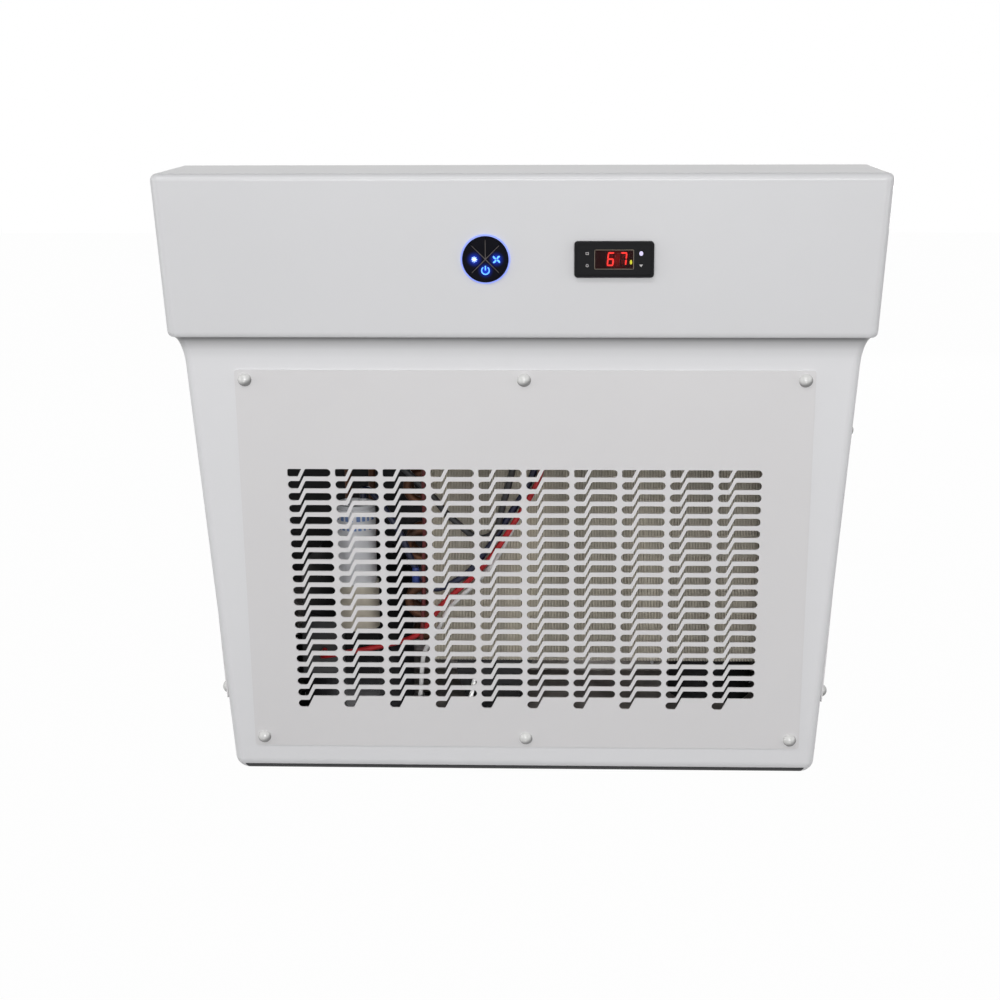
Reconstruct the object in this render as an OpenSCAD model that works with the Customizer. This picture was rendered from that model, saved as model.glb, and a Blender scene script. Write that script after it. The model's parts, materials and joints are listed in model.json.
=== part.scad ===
// Water chiller for a cold plunge tub, free standing on four rubber feet.
// A one-piece moulded cabinet with a proud control header tapers towards
// the floor. The front carries a slotted plate, a round key pad and a
// panel thermostat. Inside are the refrigeration set and the water circuit.
// Millimetres, X to the right, front at -Y, Z up, Z = 0 on the floor.

/* [Cabinet] */
// Height from the floor to the top face
cabinet_h = 642; // [625:1:665]
// Width of the header at the top edge
header_w = 716; // [706:1:730]
// Depth of the moulding from the header edge to the back
cabinet_d = 370; // [360:1:390]
// Height of the proud control header
header_h = 160; // [152:1:168]
// Width of the body just under the header
body_w = 675; // [668:1:684]
// How far the header face stands proud of the body face
header_proud = 9.3; // [7:0.1:12]
// Sideways draft of the header in degrees
header_draft = 2.9; // [2.4:0.1:3.2]
// Sideways draft of the body in degrees
body_draft = 3.46; // [3:0.02:3.8]
// Backward lean of the header face in degrees
header_lean = 3.4; // [3:0.1:4]
// Backward lean of the body face in degrees
face_lean = 4.9; // [4.5:0.1:5.3]
// Depth of the flat ledge on top of the header
ledge_d = 141; // [130:1:150]
// How far the rear deck lies under the ledge
deck_drop = 30; // [25:1:36]
// Wall of the moulding
wall = 4; // [3.4:0.1:4.6]
// Height of the hollow cove under the header
cove_h = 30; // [26:1:34]
// Share of the header step that the cove takes
cove_share = 0.72; // [0.65:0.01:0.8]
// Radius of the top edge
top_r = 7; // [6:0.5:8]
// Radius of the lower header edge
brow_r = 6; // [5:0.5:7]
// Radius where the body turns under
skirt_r = 16; // [14:1:18]
// Radius of the upright corners in plan
corner_r = 9; // [8:0.5:10]
// Height of the skirt above the floor
skirt_gap = 4; // [3:0.5:5]
// Thickness of the sheet steel at the back
sheet_t = 1.5; // [1.2:0.1:2]
// Radius of the bosses that the plate screws bite into
boss_r = 6; // [5.5:0.5:7]
// Depth of those bosses behind the wall
boss_d = 8; // [6:0.5:10]

/* [Slotted front plate] */
// Width of the plate
plate_w = 578; // [570:1:586]
// Height of the plate measured up its own face
plate_h = 413.5; // [408:0.5:418]
// Thickness of the plate
plate_t = 1.5; // [1.2:0.1:2]
// Distance of the plate under the header edge
plate_drop = 34; // [32:0.5:36]
// Shift of the plate to the right of the middle
plate_shift = 3; // [0:0.5:4]
// Rounding of the plate corners
plate_r = 3; // [2:0.5:5]
// Number of slot columns
slot_cols = 10; // [8:1:10]
// Number of slot rows
slot_rows = 20; // [16:1:20]
// Sideways pitch of the slots
slot_pitch_x = 48.5; // [47:0.5:49]
// Upward pitch of the slots
slot_pitch_z = 12.85; // [12.5:0.05:13]
// Length of a long slot
slot_l = 27.8; // [26:0.1:28.5]
// Length of the short slot that it runs down into
stub_l = 12.3; // [11:0.1:13]
// Width of every slot
slot_w = 8.2; // [7.4:0.1:8.6]
// Width of the slit between a long slot and its short one
slit_w = 2.2; // [1.6:0.1:2.8]
// Lean of the slit and of the slot ends in degrees
slot_lean = 26; // [22:1:28]
// Rounding of the leaning slot ends
slot_r = 1.6; // [1:0.1:2]
// Distance of the first slot row under the plate edge
slot_drop = 107.5; // [105:0.5:110]
// Shift of the slot field to the right of the plate middle
slot_shift = 7.5; // [6:0.5:9]

/* [Screws and caps] */
// Diameter of the dome caps
cap_d = 14; // [13:0.5:15]
// Height of the dome caps
cap_h = 5.5; // [5:0.1:6]
// Inset of the cap rows from the plate edges
cap_inset = 10; // [9.5:0.5:11]
// Diameter of the plate screws
screw_d = 4; // [3.5:0.1:4.2]
// Length of the plate screws under the head
screw_l = 10; // [9:0.5:11]
// Diameter of the screw heads
head_d = 7.6; // [7:0.1:8]
// Height of the screw heads
head_h = 2.4; // [2:0.1:2.8]

/* [Side plates] */
// Length of a side plate from front to back
side_w = 292; // [286:1:296]
// Height of a side plate
side_h = 302; // [296:1:306]
// Height of the middle of a side plate above the floor
side_z = 238; // [235:1:241]
// Number of louvre slots in each of the two columns
louvre_count = 14; // [10:1:14]
// Length of a louvre slot
louvre_l = 104; // [96:1:106]
// Width of a louvre slot
louvre_w = 7; // [6:0.5:8]
// Pitch of the louvre slots
louvre_pitch = 16; // [15:0.5:16.5]

/* [Round key pad] */
// How far the middle of the key pad and thermostat lies under the top face
control_z = 82; // [78:1:86]
// Key pad place to the left of the middle
keypad_x = -33.5; // [-40:0.5:-30]
// Diameter of the black face
keypad_d = 45; // [43:0.5:46]
// Width of the lit ring round the face
ring_w = 1.6; // [1.3:0.1:2]
// Height of the lit ring over the header face
ring_h = 1.8; // [1.5:0.1:2.2]
// Height of the black face over the header face
keypad_h = 3; // [2.6:0.1:3.4]
// Diameter of the threaded neck
neck_d = 36; // [34:0.5:37]
// Length of the threaded neck behind the header face
neck_l = 16; // [14:1:20]
// Gap between two keys
key_gap = 0.8; // [0.6:0.1:1]
// Thickness of a key
key_t = 1.6; // [1.4:0.1:1.8]
// Travel of a key
key_travel = 0.5; // [0.4:0.05:0.6]

/* [Panel thermostat] */
// Thermostat place to the right of the middle
thermo_x = 91; // [85:0.5:95]
// Width of the bezel
thermo_w = 77; // [75:0.5:79]
// Height of the bezel
thermo_h = 35; // [34:0.5:36]
// Thickness of the bezel
thermo_t = 5; // [4.4:0.1:5.6]
// Width of the panel cutout
cutout_w = 71; // [70:0.5:72]
// Height of the panel cutout
cutout_h = 29; // [28:0.5:30]
// Depth of the case behind the panel
thermo_d = 58; // [50:1:64]
// Width of the display window
window_w = 38; // [36:0.5:40]
// Height of the display window
window_h = 19; // [18:0.5:20]
// Diameter of the small keys
button_d = 7; // [6.5:0.1:7.4]
// Sideways distance of the small keys from the middle
button_x = 26; // [25:0.5:27.5]
// Upward distance of the small keys from the middle
button_z = 5.9; // [5.5:0.1:6.4]
// Travel of a small key
button_travel = 0.5; // [0.4:0.05:0.6]

/* [Base] */
// Height of the tray floor above the ground
foot_h = 10; // [9:0.5:12]
// Thickness of the tray
tray_t = 2; // [1.6:0.1:2.4]
// Width of the tray
tray_w = 584; // [576:1:586]
// Height of the upturned tray flanges
flange_h = 26; // [24:1:32]
// Diameter of the rubber feet
foot_d = 40; // [36:1:44]
// Sideways distance of the feet from the middle
foot_x = 264; // [260:1:268]
// Distance of the front feet behind the header edge
foot_front_y = 110; // [105:1:115]
// Distance of the rear feet before the back edge
foot_rear_y = 40; // [35:1:47]
// Diameter of the foot bolts
bolt_d = 6; // [5:0.5:6.5]

/* [Condenser and fan] */
// Width of the finned block
fins_w = 348; // [340:1:352]
// Height of the finned block
fins_h = 310; // [304:1:314]
// Depth of the finned block
fins_d = 44; // [42:1:46]
// Left edge of the finned block
fins_x = -98; // [-100:1:-94]
// Distance of the finned block behind the header edge
fins_y = 77; // [75:1:79]
// Underside of the finned block
fins_z = 126; // [122:1:130]
// Pitch of the fins as drawn
fin_pitch = 4; // [4:0.5:6]
// Depth of the gap between two fins
fin_gap_d = 4; // [3:0.5:5]
// Number of tube passes in each row
pass_count = 10; // [10:2:10]
// Diameter of the condenser tubes
tube_d = 9.5; // [9:0.1:10]
// Radius of the fan
fan_r = 138; // [130:1:140]
// Number of fan blades
blade_count = 5; // [4:1:6]
// Pitch of the fan blades in degrees
blade_pitch = 28; // [24:1:30]
// Depth of the bell mouth
mouth_d = 27; // [24:1:28]
// Diameter of the fan motor
motor_d = 96; // [88:1:100]
// Length of the fan motor
motor_l = 60; // [50:1:64]

/* [Compressor] */
// Place of the compressor to the left of the middle
comp_x = -190; // [-194:1:-186]
// Distance of the compressor axis behind the header edge
comp_y = 195; // [191:1:199]
// Diameter of the compressor can
comp_d = 124; // [118:1:128]
// Height of the compressor can
comp_h = 194; // [186:1:200]
// Diameter of the run capacitor
capacitor_d = 42; // [40:0.5:43]
// Height of the white can
capacitor_h = 86; // [80:1:92]
// Height of the boot that holds the can
boot_h = 50; // [46:1:54]
// Height of the top of the boot above the floor
boot_top_z = 207; // [200:1:212]
// Place of the capacitor to the left of the middle
capacitor_x = -178; // [-182:1:-174]
// Distance of the capacitor axis behind the header edge
capacitor_y = 99; // [97:1:101]

/* [Water circuit] */
// Outer diameter of the spigots
spigot_d = 25; // [24:0.5:26]
// Bore of the spigots
spigot_bore = 19; // [18:0.5:20]
// How far the spigots stand out at the back
spigot_l = 40; // [36:1:44]
// Place of the pump and the inlet
pump_x = -40; // [-44:1:-36]
// Height of the pump axis above the floor
pump_z = 72; // [70:1:76]
// Place of the heat exchanger to the right of the middle
barrel_x = 215; // [210:1:218]
// How far the outlet lies under the top of the heat exchanger
outlet_z = 40; // [34:1:50]
// Diameter of the heat exchanger barrel
barrel_d = 96; // [90:1:98]
// Height of the heat exchanger barrel
barrel_h = 318; // [312:1:326]
// Wall of the inner hoses
hose_wall = 3.5; // [3:0.1:4]

/* [Wiring and pipes] */
// Diameter of the wires
wire_d = 4.4; // [4:0.1:4.6]
// Diameter of the copper lines
line_d = 8; // [7:0.1:8.5]
// Bore of the cable gland
gland_bore = 8.5; // [8:0.1:9]

/* [Hidden] */
$fn = 64;
eps = 1;
fit = 0.05;
gap = 0.3;
arc_steps = 6;
corner_steps = 2;
front_y = -(cabinet_d + spigot_l) / 2;
rear_y = front_y + cabinet_d;
brow_z = cabinet_h - header_h;
deck_z = cabinet_h - deck_drop;
ledge_y = front_y + ledge_d;
floor_z = foot_h + tray_t;
control_mid_z = cabinet_h - control_z;
front_feet_y = front_y + foot_front_y;
rear_feet_y = rear_y - foot_rear_y;
fins_front_y = front_y + fins_y;
comp_mid_y = front_y + comp_y;
capacitor_mid_y = front_y + capacitor_y;
outlet_mid_z = floor_z + barrel_h - outlet_z;
brow_y = front_y + header_h * tan(header_lean);
face_y = brow_y + header_proud;
panel_y = rear_y + sheet_t;
cavity_low_share = 1.32;
min_r = 1.2;
body_mid_z = brow_z - cove_h;
window_margin = 26;
window_top = 90;
side_window_margin = 26;
screw_fit = 0.15;
joint_share = 1.06;
lap_share = 0.1;

function header_hw(z) = header_w / 2 - (cabinet_h - z) * tan(header_draft);
function header_y(z) = front_y + (cabinet_h - z) * tan(header_lean);
function body_hw(z) = body_w / 2 - (brow_z - z) * tan(body_draft);
function body_y(z) = face_y + (brow_z - z) * tan(face_lean);
function mix(a, b, k) = a + (b - a) * k;

// One closed plan outline: two rounded front corners and a square back
function ring(z, hw, y, r, back) = concat(
    [[hw, back, z]],
    [for (i = [0 : arc_steps]) [hw - r + r * cos(-90 * i / arc_steps),
        y + r + r * sin(-90 * i / arc_steps), z]],
    [for (i = [0 : arc_steps]) [-hw + r - r * sin(90 * i / arc_steps),
        y + r - r * cos(90 * i / arc_steps), z]],
    [[-hw, back, z]]);
// Rings from the top face down over the header
function top_ring(a) = head_edge_ring(cabinet_h - top_r * (1 - cos(a)), top_r * (1 - sin(a)));
function head_edge_ring(z, inset) = ring(z, header_hw(z) - inset, header_y(z) + inset,
    max(min_r, corner_r - inset), rear_y);
function step_ring(z, k) = ring(z, mix(body_hw(z), header_hw(z), k), mix(body_y(z), header_y(z), k),
    corner_r, rear_y);
function brow_ring(a) = step_ring(brow_z + brow_r * (1 - sin(a)), 1 - (1 - cove_share) * (1 - cos(a)));
function cove_ring(a) = step_ring(brow_z - cove_h * (1 - cos(a)), cove_share * (1 - sin(a)));
function skirt_ring(a) = ring(skirt_gap + skirt_r * (1 - sin(a)),
    body_hw(skirt_gap + skirt_r * (1 - sin(a))) - skirt_r * (1 - cos(a)),
    body_y(skirt_gap + skirt_r * (1 - sin(a))) + skirt_r * (1 - cos(a)),
    max(min_r, corner_r - skirt_r * (1 - cos(a)) / 2), rear_y);
function body_ring(z, inset, back) = ring(z, body_hw(z) - inset, body_y(z) + inset, corner_r - wall, back);
function head_ring(z, inset, back) = ring(z, header_hw(z) - inset, header_y(z)
    + inset, corner_r - wall, back);

module loft(rings) {
    n = len(rings[0]);
    m = len(rings);
    points = [for (r = rings, p = r) p];
    sides = [for (k = [0 : m - 2], i = [0 : n - 1], t = [0, 1])
        t == 0 ? [k * n + i, k * n + (i + 1) % n, (k + 1) * n + (i + 1) % n]
               : [k * n + i, (k + 1) * n + (i + 1) % n, (k + 1) * n + i]];
    first = [for (i = [0 : n - 1]) n - 1 - i];
    last = [for (i = [0 : n - 1]) (m - 1) * n + i];
    polyhedron(points = points, faces = concat([first], sides, [last]), convexity = 6);
}

// Working frame a fit in front of the leaning body face, its Z axis pointing out
module on_face() {
    translate([0, face_y - fit, brow_z]) rotate([90 + face_lean, 0, 0]) children();
}
// Working frame a fit in front of the leaning header face at the height of the controls
module on_header(x) {
    translate([x, header_y(control_mid_z) - fit, control_mid_z]) rotate([90 + header_lean, 0, 0]) children();
}
// Working frame on the right side face, turned over for the left one
module on_side(side) {
    mirror([side < 0 ? 1 : 0, 0, 0]) translate([body_hw(side_z) + fit, 0, side_z])
        rotate([0, body_draft, 0]) rotate([90, 0, 90]) children();
}
// Working frame on the back panel, its Z axis pointing out
module on_back(x, z) {
    translate([x, panel_y, z]) rotate([-90, 0, 0]) children();
}
module pipe(d, bore, l) {
    difference() {
        cylinder(d = d, h = l);
        translate([0, 0, -eps]) cylinder(d = bore, h = l + 2 * eps);
    }
}
module round_bar(l, w) {
    square([l - w, w], center = true);
    for (side = [-1, 1]) {
        translate([side * (l - w) / 2, 0]) circle(d = w);
    }
}
module round_plate(w, h, r, t) {
    linear_extrude(t) {
        square([w - 2 * r, h], center = true);
        square([w, h - 2 * r], center = true);
        for (x = [-1, 1], y = [-1, 1]) {
            translate([x * (w / 2 - r), y * (h / 2 - r)]) circle(r = r);
        }
    }
}
// A round run through a list of points, with a rounded joint at each bend
module run(points, d) {
    last = len(points) - 2;
    for (i = [0 : last]) {
        v = points[i + 1] - points[i];
        l = norm(v);
        back = i > 0 ? d * lap_share : 0;
        ahead = i < last ? d * lap_share : 0;
        translate(points[i]) rotate([0, acos(v[2] / l), atan2(v[1], v[0])]) {
            translate([0, 0, -back]) rotate(17) cylinder(d = d, h = l + back + ahead, $fn = 32);
            if (i > 0) sphere(d = d * joint_share, $fn = 32);
        }
    }
}

// Plate fixing places, each in the frame of its face
plate_mid = [plate_shift, -plate_drop - plate_h / 2];
plate_pins = [for (x = [-1, 0, 1], y = [-1, 1])
    [plate_mid[0] + x * (plate_w / 2 - cap_inset), plate_mid[1] + y * (plate_h / 2 - cap_inset)]];
side_pins = [for (x = [-1, 1], y = [-1, 1]) [x * (side_w / 2 - cap_inset), y * (side_h / 2 - cap_inset)]];
boss_x = 280;
boss_inset = 89;
boss_front_y = front_y + boss_inset;
boss_rear_inset = 17;
boss_rear_y = rear_y - boss_rear_inset;
boss_top_z = 60;
tray_screw_d = 5;
tray_pins = [for (x = [-1, 1], y = [boss_front_y, boss_rear_y]) [x * boss_x, y]];
lug_x = 292;
lug_y = 20;
lug_z = 16;
back_x = 300;
back_low_z = 60;
back_mid_share = 0.48;
back_rows = [back_low_z, mix(back_low_z, control_mid_z, back_mid_share), control_mid_z];
back_tray_x = 150;
back_pins = concat(
    [for (x = [-1, 1], z = back_rows) [x * back_x, z]],
    [for (x = [-1, 1]) [x * back_tray_x, floor_z + flange_h / 2]]);
keyring_d = keypad_d + 2 * ring_w;
neck_bore = neck_d - 4 * ring_w;

module bored_face_boss(pins) {
    for (p = pins) {
        translate([p[0], p[1], -wall - boss_d]) cylinder(r = boss_r, h = boss_d + wall / 2);
    }
}
module screw_holes(pins, depth) {
    for (p = pins) {
        translate([p[0], p[1], -depth]) cylinder(d = screw_d + 2 * screw_fit, h = depth + eps);
    }
}

module cabinet_outside() {
    difference() {
        loft(concat(
            [for (a = [90, 67.5, 45, 22.5, 0]) skirt_ring(a)],
            [for (a = [90, 75, 60, 45, 30, 15]) cove_ring(a)],
            [for (a = [90, 60, 30, 0]) brow_ring(a)],
            [for (a = [90, 67.5, 45, 22.5, 0]) top_ring(a)]));
        translate([-header_w, ledge_y, deck_z]) cube([2 * header_w, cabinet_d, deck_drop + eps]);
    }
}
module cabinet_cavity() {
    low = skirt_gap - eps;
    back = rear_y + eps;
    loft([body_ring(low, skirt_r * cavity_low_share, back), body_ring(skirt_gap + skirt_r + eps, wall, back),
        body_ring(body_mid_z, wall, back), body_ring(brow_z + wall + eps, wall, back)]);
    loft([head_ring(brow_z + wall, wall, back), head_ring(deck_z - wall, wall, back)]);
    loft([head_ring(deck_z - 2 * wall, wall * 1.25, ledge_y - wall),
        head_ring(cabinet_h - wall, wall * 1.25, ledge_y - wall)]);
}
module cabinet_shell() {
    color([0.92, 0.92, 0.93]) difference() {
        union() {
            difference() {
                cabinet_outside();
                cabinet_cavity();
            }
            on_face() bored_face_boss(plate_pins);
            for (side = [-1, 1]) {
                on_side(side) bored_face_boss(side_pins);
            }
            for (p = tray_pins) {
                translate([p[0], p[1], floor_z]) cylinder(r = boss_r + eps, h = boss_top_z - floor_z);
                mirror([p[0] < 0 ? 1 : 0, 0, 0]) translate([boss_x, p[1] - wall / 2, skirt_gap + skirt_r])
                    cube([body_hw(boss_top_z / 2) - wall / 2 - boss_x, wall, boss_top_z / 2]);
            }
            for (side = [-1, 1], z = back_rows) {
                wall_x = (z < brow_z ? body_hw(z) : header_hw(z)) - wall / 2;
                mirror([side < 0 ? 1 : 0, 0, 0]) translate([lug_x, rear_y - lug_y, z - lug_z / 2])
                    cube([wall_x - lug_x, lug_y, lug_z]);
            }
        }
        on_face() screw_holes(plate_pins, screw_l);
        for (side = [-1, 1]) {
            on_side(side) screw_holes(side_pins, screw_l);
            on_side(side) translate([0, 0, -2 * wall]) linear_extrude(3 * wall)
                square([side_w - 2 * side_window_margin, side_h - 2 * side_window_margin], center = true);
        }
        on_face() translate([plate_mid[0], -plate_drop - window_top, -2 * wall])
            linear_extrude(3 * wall) translate([-plate_w / 2 + window_margin,
                window_top - plate_h + window_margin])
                square([plate_w - 2 * window_margin, plate_h - window_top - window_margin]);
        on_header(keypad_x) translate([0, 0, -2 * wall]) cylinder(d = neck_d + 2 * fit, h = 3 * wall);
        on_header(thermo_x) translate([0, 0, -2 * wall])
            linear_extrude(3 * wall) square([cutout_w, cutout_h], center = true);
        for (p = tray_pins) {
            translate([p[0], p[1], floor_z - eps]) cylinder(d = tray_screw_d + 2 * screw_fit, h = 2 * lug_z);
        }
        for (p = back_pins) {
            on_back(p[0], p[1]) translate([0, 0, -sheet_t - screw_l])
                cylinder(d = screw_d + 2 * screw_fit, h = screw_l + eps);
        }
    }
}

// Plates
slit_x = slit_w / cos(slot_lean);
stub_end = -slot_l / 2 + slit_x - slot_pitch_z * tan(slot_lean);
function corner(mid, from, to) = [for (k = [0 : corner_steps])
    mid + slot_r * [cos(mix(from, to, k / corner_steps)), sin(mix(from, to, k / corner_steps))]];
// A long slot that runs down a leaning slit into the short slot of the next row
module z_slot() {
    h = slot_w / 2;
    lean = tan(slot_lean);
    left = -slot_l / 2;
    low_z = -slot_pitch_z;
    far = stub_end - stub_l + h;
    top = [left + (h - slot_r) * lean + slot_r / cos(slot_lean), h - slot_r];
    low = [left + slit_x + (low_z - h + slot_r) * lean - slot_r / cos(slot_lean), low_z - h + slot_r];
    polygon(concat(corner(top, 180 - slot_lean, 90),
        [[slot_l / 2 - h, h], [slot_l / 2 - h, -h], [left + slit_x - h * lean, -h]],
        corner(low, -slot_lean, -90),
        [[far, low_z - h], [far, low_z + h], [left + (low_z + h) * lean, low_z + h]]));
    translate([slot_l / 2 - h, 0]) circle(r = h);
    translate([far, low_z]) circle(r = h);
}
// The short slots that stand alone in the first row
module free_stub() {
    h = slot_w / 2;
    far = stub_end - stub_l + slot_r;
    polygon(concat(corner([far, h - slot_r], 180, 90),
        [[stub_end + h * tan(slot_lean), h], [stub_end - h * tan(slot_lean), -h]],
        corner([far, slot_r - h], -90, -180)));
}
module front_grille() {
    color([0.88, 0.87, 0.87]) on_face() translate([plate_mid[0], plate_mid[1], 0]) difference() {
        round_plate(plate_w, plate_h, plate_r, plate_t);
        translate([slot_shift, plate_h / 2 - slot_drop, -eps]) linear_extrude(plate_t + 2 * eps) {
            for (i = [0 : slot_cols - 1], j = [0 : slot_rows - 1]) {
                translate([(i - (slot_cols - 1) / 2) * slot_pitch_x, -j * slot_pitch_z]) z_slot();
            }
            for (i = [0 : slot_cols - 1]) {
                translate([(i - (slot_cols - 1) / 2) * slot_pitch_x, 0]) free_stub();
            }
        }
        for (p = plate_pins) {
            translate([p[0] - plate_mid[0], p[1] - plate_mid[1], -eps])
                cylinder(d = screw_d + 2 * screw_fit, h = plate_t + 2 * eps);
        }
    }
}
module side_grille(side) {
    color([0.88, 0.88, 0.88]) on_side(side) difference() {
        round_plate(side_w, side_h, plate_r, plate_t);
        translate([0, 0, -eps]) linear_extrude(plate_t + 2 * eps)
            for (x = [-1, 1], j = [0 : louvre_count - 1]) {
                translate([x * (louvre_l + louvre_w) / 2, (j - (louvre_count - 1) / 2) * louvre_pitch])
                    round_bar(louvre_l, louvre_w);
            }
        translate([0, 0, eps]) screw_holes(side_pins, 2 * plate_t);
    }
}
module side_grille_left() {
    side_grille(-1);
}
module side_grille_right() {
    side_grille(1);
}
module plate_screw() {
    translate([0, 0, plate_t]) cylinder(d = head_d, h = head_h);
    translate([0, 0, plate_t - screw_l]) cylinder(d = screw_d, h = screw_l);
}
module plate_cap() {
    skin = (cap_d - head_d) / 2 - cap_inset / 10;
    dome_r = (cap_d * cap_d / 4 + cap_h * cap_h) / (2 * cap_h);
    translate([0, 0, plate_t]) difference() {
        intersection() {
            translate([0, 0, cap_h - dome_r]) sphere(r = dome_r);
            cylinder(d = cap_d, h = cap_h);
        }
        translate([0, 0, -eps]) cylinder(d = cap_d - 2 * skin, h = head_h + gap / 2 + eps);
    }
}
module plate_screws() {
    color([0.6, 0.6, 0.62]) {
        on_face() for (p = plate_pins) {
            translate([p[0], p[1], 0]) plate_screw();
        }
        for (side = [-1, 1], p = side_pins) {
            on_side(side) translate([p[0], p[1], 0]) plate_screw();
        }
    }
}
module plate_caps() {
    color([0.95, 0.95, 0.95]) {
        on_face() for (p = plate_pins) {
            translate([p[0], p[1], 0]) plate_cap();
        }
        for (side = [-1, 1], p = side_pins) {
            on_side(side) translate([p[0], p[1], 0]) plate_cap();
        }
    }
}

// Round key pad
pocket_d = keypad_d - ring_w;
key_top = keypad_h;
key_under = key_top - key_t;
pocket_z = key_under - key_travel - gap / 2;
key_stem_d = 3;
key_stem_r = keypad_d / 3.6;
key_angles = [0, 67.5, 112.5, 180, 270];
key_spans = [90, 45, 45, 90, 90];
board_z = -neck_l / 4;
board_t = 1.6;

module key_outline(i) {
    half = key_spans[i] / 2;
    shift = key_gap / 2 / sin(half);
    rotate(key_angles[i]) intersection() {
        circle(d = pocket_d - key_gap);
        translate([shift, 0]) polygon([[0, 0], [keypad_d * cos(half), keypad_d * sin(half)],
            [2 * keypad_d, 0], [keypad_d * cos(half), -keypad_d * sin(half)]]);
    }
}
module pad_key(i) {
    color([0.05, 0.05, 0.06]) on_header(keypad_x) {
        translate([0, 0, key_under]) linear_extrude(key_t) key_outline(i);
        rotate(key_angles[i]) translate([key_stem_r, 0, board_z + board_t + key_travel + gap])
            cylinder(d = key_stem_d, h = key_under + key_t / 2 - board_z - board_t - key_travel - gap);
    }
}
module keypad_housing() {
    color([0.04, 0.04, 0.05]) on_header(keypad_x) difference() {
        union() {
            cylinder(d = keypad_d, h = keypad_h);
            translate([0, 0, -neck_l]) cylinder(d = neck_d, h = neck_l + keypad_h / 2);
        }
        translate([0, 0, pocket_z]) cylinder(d = pocket_d, h = keypad_h);
        translate([0, 0, -neck_l - eps]) cylinder(d = neck_bore, h = neck_l + board_z + board_t + eps);
        for (a = key_angles) {
            rotate(a) translate([key_stem_r, 0, -neck_l]) cylinder(d = key_stem_d + 4 * fit, h = 2 * neck_l);
        }
    }
}
module keypad_light_ring() {
    color([0.55, 0.75, 1]) on_header(keypad_x) pipe(keyring_d, keypad_d + 2 * fit, ring_h);
}
module keypad_nut() {
    color([0.1, 0.1, 0.1]) on_header(keypad_x) translate([0, 0, -2 * wall - 2 * fit])
        difference() {
            cylinder(d = neck_d * 4 / 3, h = wall, $fn = 6);
            translate([0, 0, -eps]) cylinder(d = neck_d + 2 * fit, h = wall + 2 * eps);
        }
}
module key_fan() {
    pad_key(0);
}
module key_upper_right() {
    pad_key(1);
}
module key_upper_left() {
    pad_key(2);
}
module key_light() {
    pad_key(3);
}
module key_power() {
    pad_key(4);
}

// Panel thermostat
rim_w = 2.2;
rim_h = 1.6;
label_z = thermo_t - rim_h;
window_t = 2;
digit_h = window_h * 0.7;
digit_w = digit_h * 0.52;
digit_pitch = digit_w * 1.87;
digit_shift = 0.36;
digit_bar = digit_h * 0.13;
digit_t = 0.2;
// Bars in the order top, upper left, upper right, middle, lower left, lower right, bottom
digit_bars = [[1, 1, 0, 1, 1, 1, 1], [1, 0, 1, 0, 0, 1, 0]];
button_places = [[-button_x, button_z], [-button_x, -button_z], [button_x, button_z], [button_x, -button_z]];

module thermostat_bezel() {
    color([0.06, 0.06, 0.07]) on_header(thermo_x) difference() {
        round_plate(thermo_w, thermo_h, thermo_h / 10, thermo_t);
        translate([0, 0, label_z]) round_plate(thermo_w - 2 * rim_w, thermo_h - 2 * rim_w,
            thermo_h / 14, thermo_t);
        translate([0, 0, -eps]) linear_extrude(thermo_t)
            square([window_w + 2 * gap, window_h + 2 * gap], center = true);
        for (p = button_places) {
            translate([p[0], p[1], -eps]) cylinder(d = button_d + 2 * fit, h = thermo_t);
        }
    }
}
module thermostat_case() {
    color([0.12, 0.12, 0.13]) on_header(thermo_x) difference() {
        translate([0, 0, -thermo_d]) linear_extrude(thermo_d)
            square([cutout_w - 2 * gap, cutout_h - 2 * gap], center = true);
        translate([0, 0, -thermo_d / 4]) linear_extrude(thermo_d)
            square([cutout_w - 2 * rim_w, cutout_h - 2 * rim_w], center = true);
    }
}
module thermostat_window() {
    color([0.1, 0.02, 0.03, 0.5]) on_header(thermo_x) translate([0, 0, label_z - window_t])
        linear_extrude(window_t) square([window_w, window_h], center = true);
}
module thermostat_display() {
    color([0.1, 0.1, 0.1]) on_header(thermo_x) translate([0, 0, -thermo_d / 4])
        linear_extrude(thermo_d / 4 + label_z - window_t - digit_t - fit)
            square([window_w - 2 * gap, window_h - 2 * gap], center = true);
}
module digit_bar_at(k) {
    span = digit_w - digit_bar;
    rise = digit_h / 2 - digit_bar;
    places = [[0, digit_h - digit_bar, 0], [-span, digit_h * 3 / 4 - digit_bar / 2, 1],
        [span, digit_h * 3 / 4 - digit_bar / 2, 1], [0, digit_h / 2 - digit_bar / 2, 0],
        [-span, digit_h / 4 - digit_bar / 2, 1], [span, digit_h / 4 - digit_bar / 2, 1], [0, 0, 0]];
    p = places[k];
    translate([p[0] / 2, p[1] + digit_bar / 2 - digit_h / 2])
        square(p[2] == 0 ? [span - digit_bar * 0.3, digit_bar] : [digit_bar, rise], center = true);
}
module display_digits() {
    color([1, 0.1, 0.15]) on_header(thermo_x) translate([0, 0, label_z - window_t - digit_t - fit])
        linear_extrude(digit_t) for (d = [0, 1], k = [0 : 6]) {
            if (digit_bars[d][k] == 1) translate([(d - digit_shift) * digit_pitch, 0]) digit_bar_at(k);
        }
}
module button(i) {
    color([0.14, 0.14, 0.16]) on_header(thermo_x) translate([button_places[i][0], button_places[i][1],
        -rim_w])
        cylinder(d = button_d, h = label_z + rim_w + button_travel);
}
module button_set() {
    button(0);
}
module button_timer() {
    button(1);
}
module button_up() {
    button(2);
}
module button_down() {
    button(3);
}
module thermostat_clips() {
    color([0.85, 0.45, 0.1]) on_header(thermo_x) for (side = [-1, 1]) {
        translate([side * (cutout_w / 2 + rim_w), 0, -thermo_d / 2])
            linear_extrude(thermo_d / 2 - wall - 2 * fit) square([2 * rim_w + gap, cutout_h / 2],
                center = true);
    }
}

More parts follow.
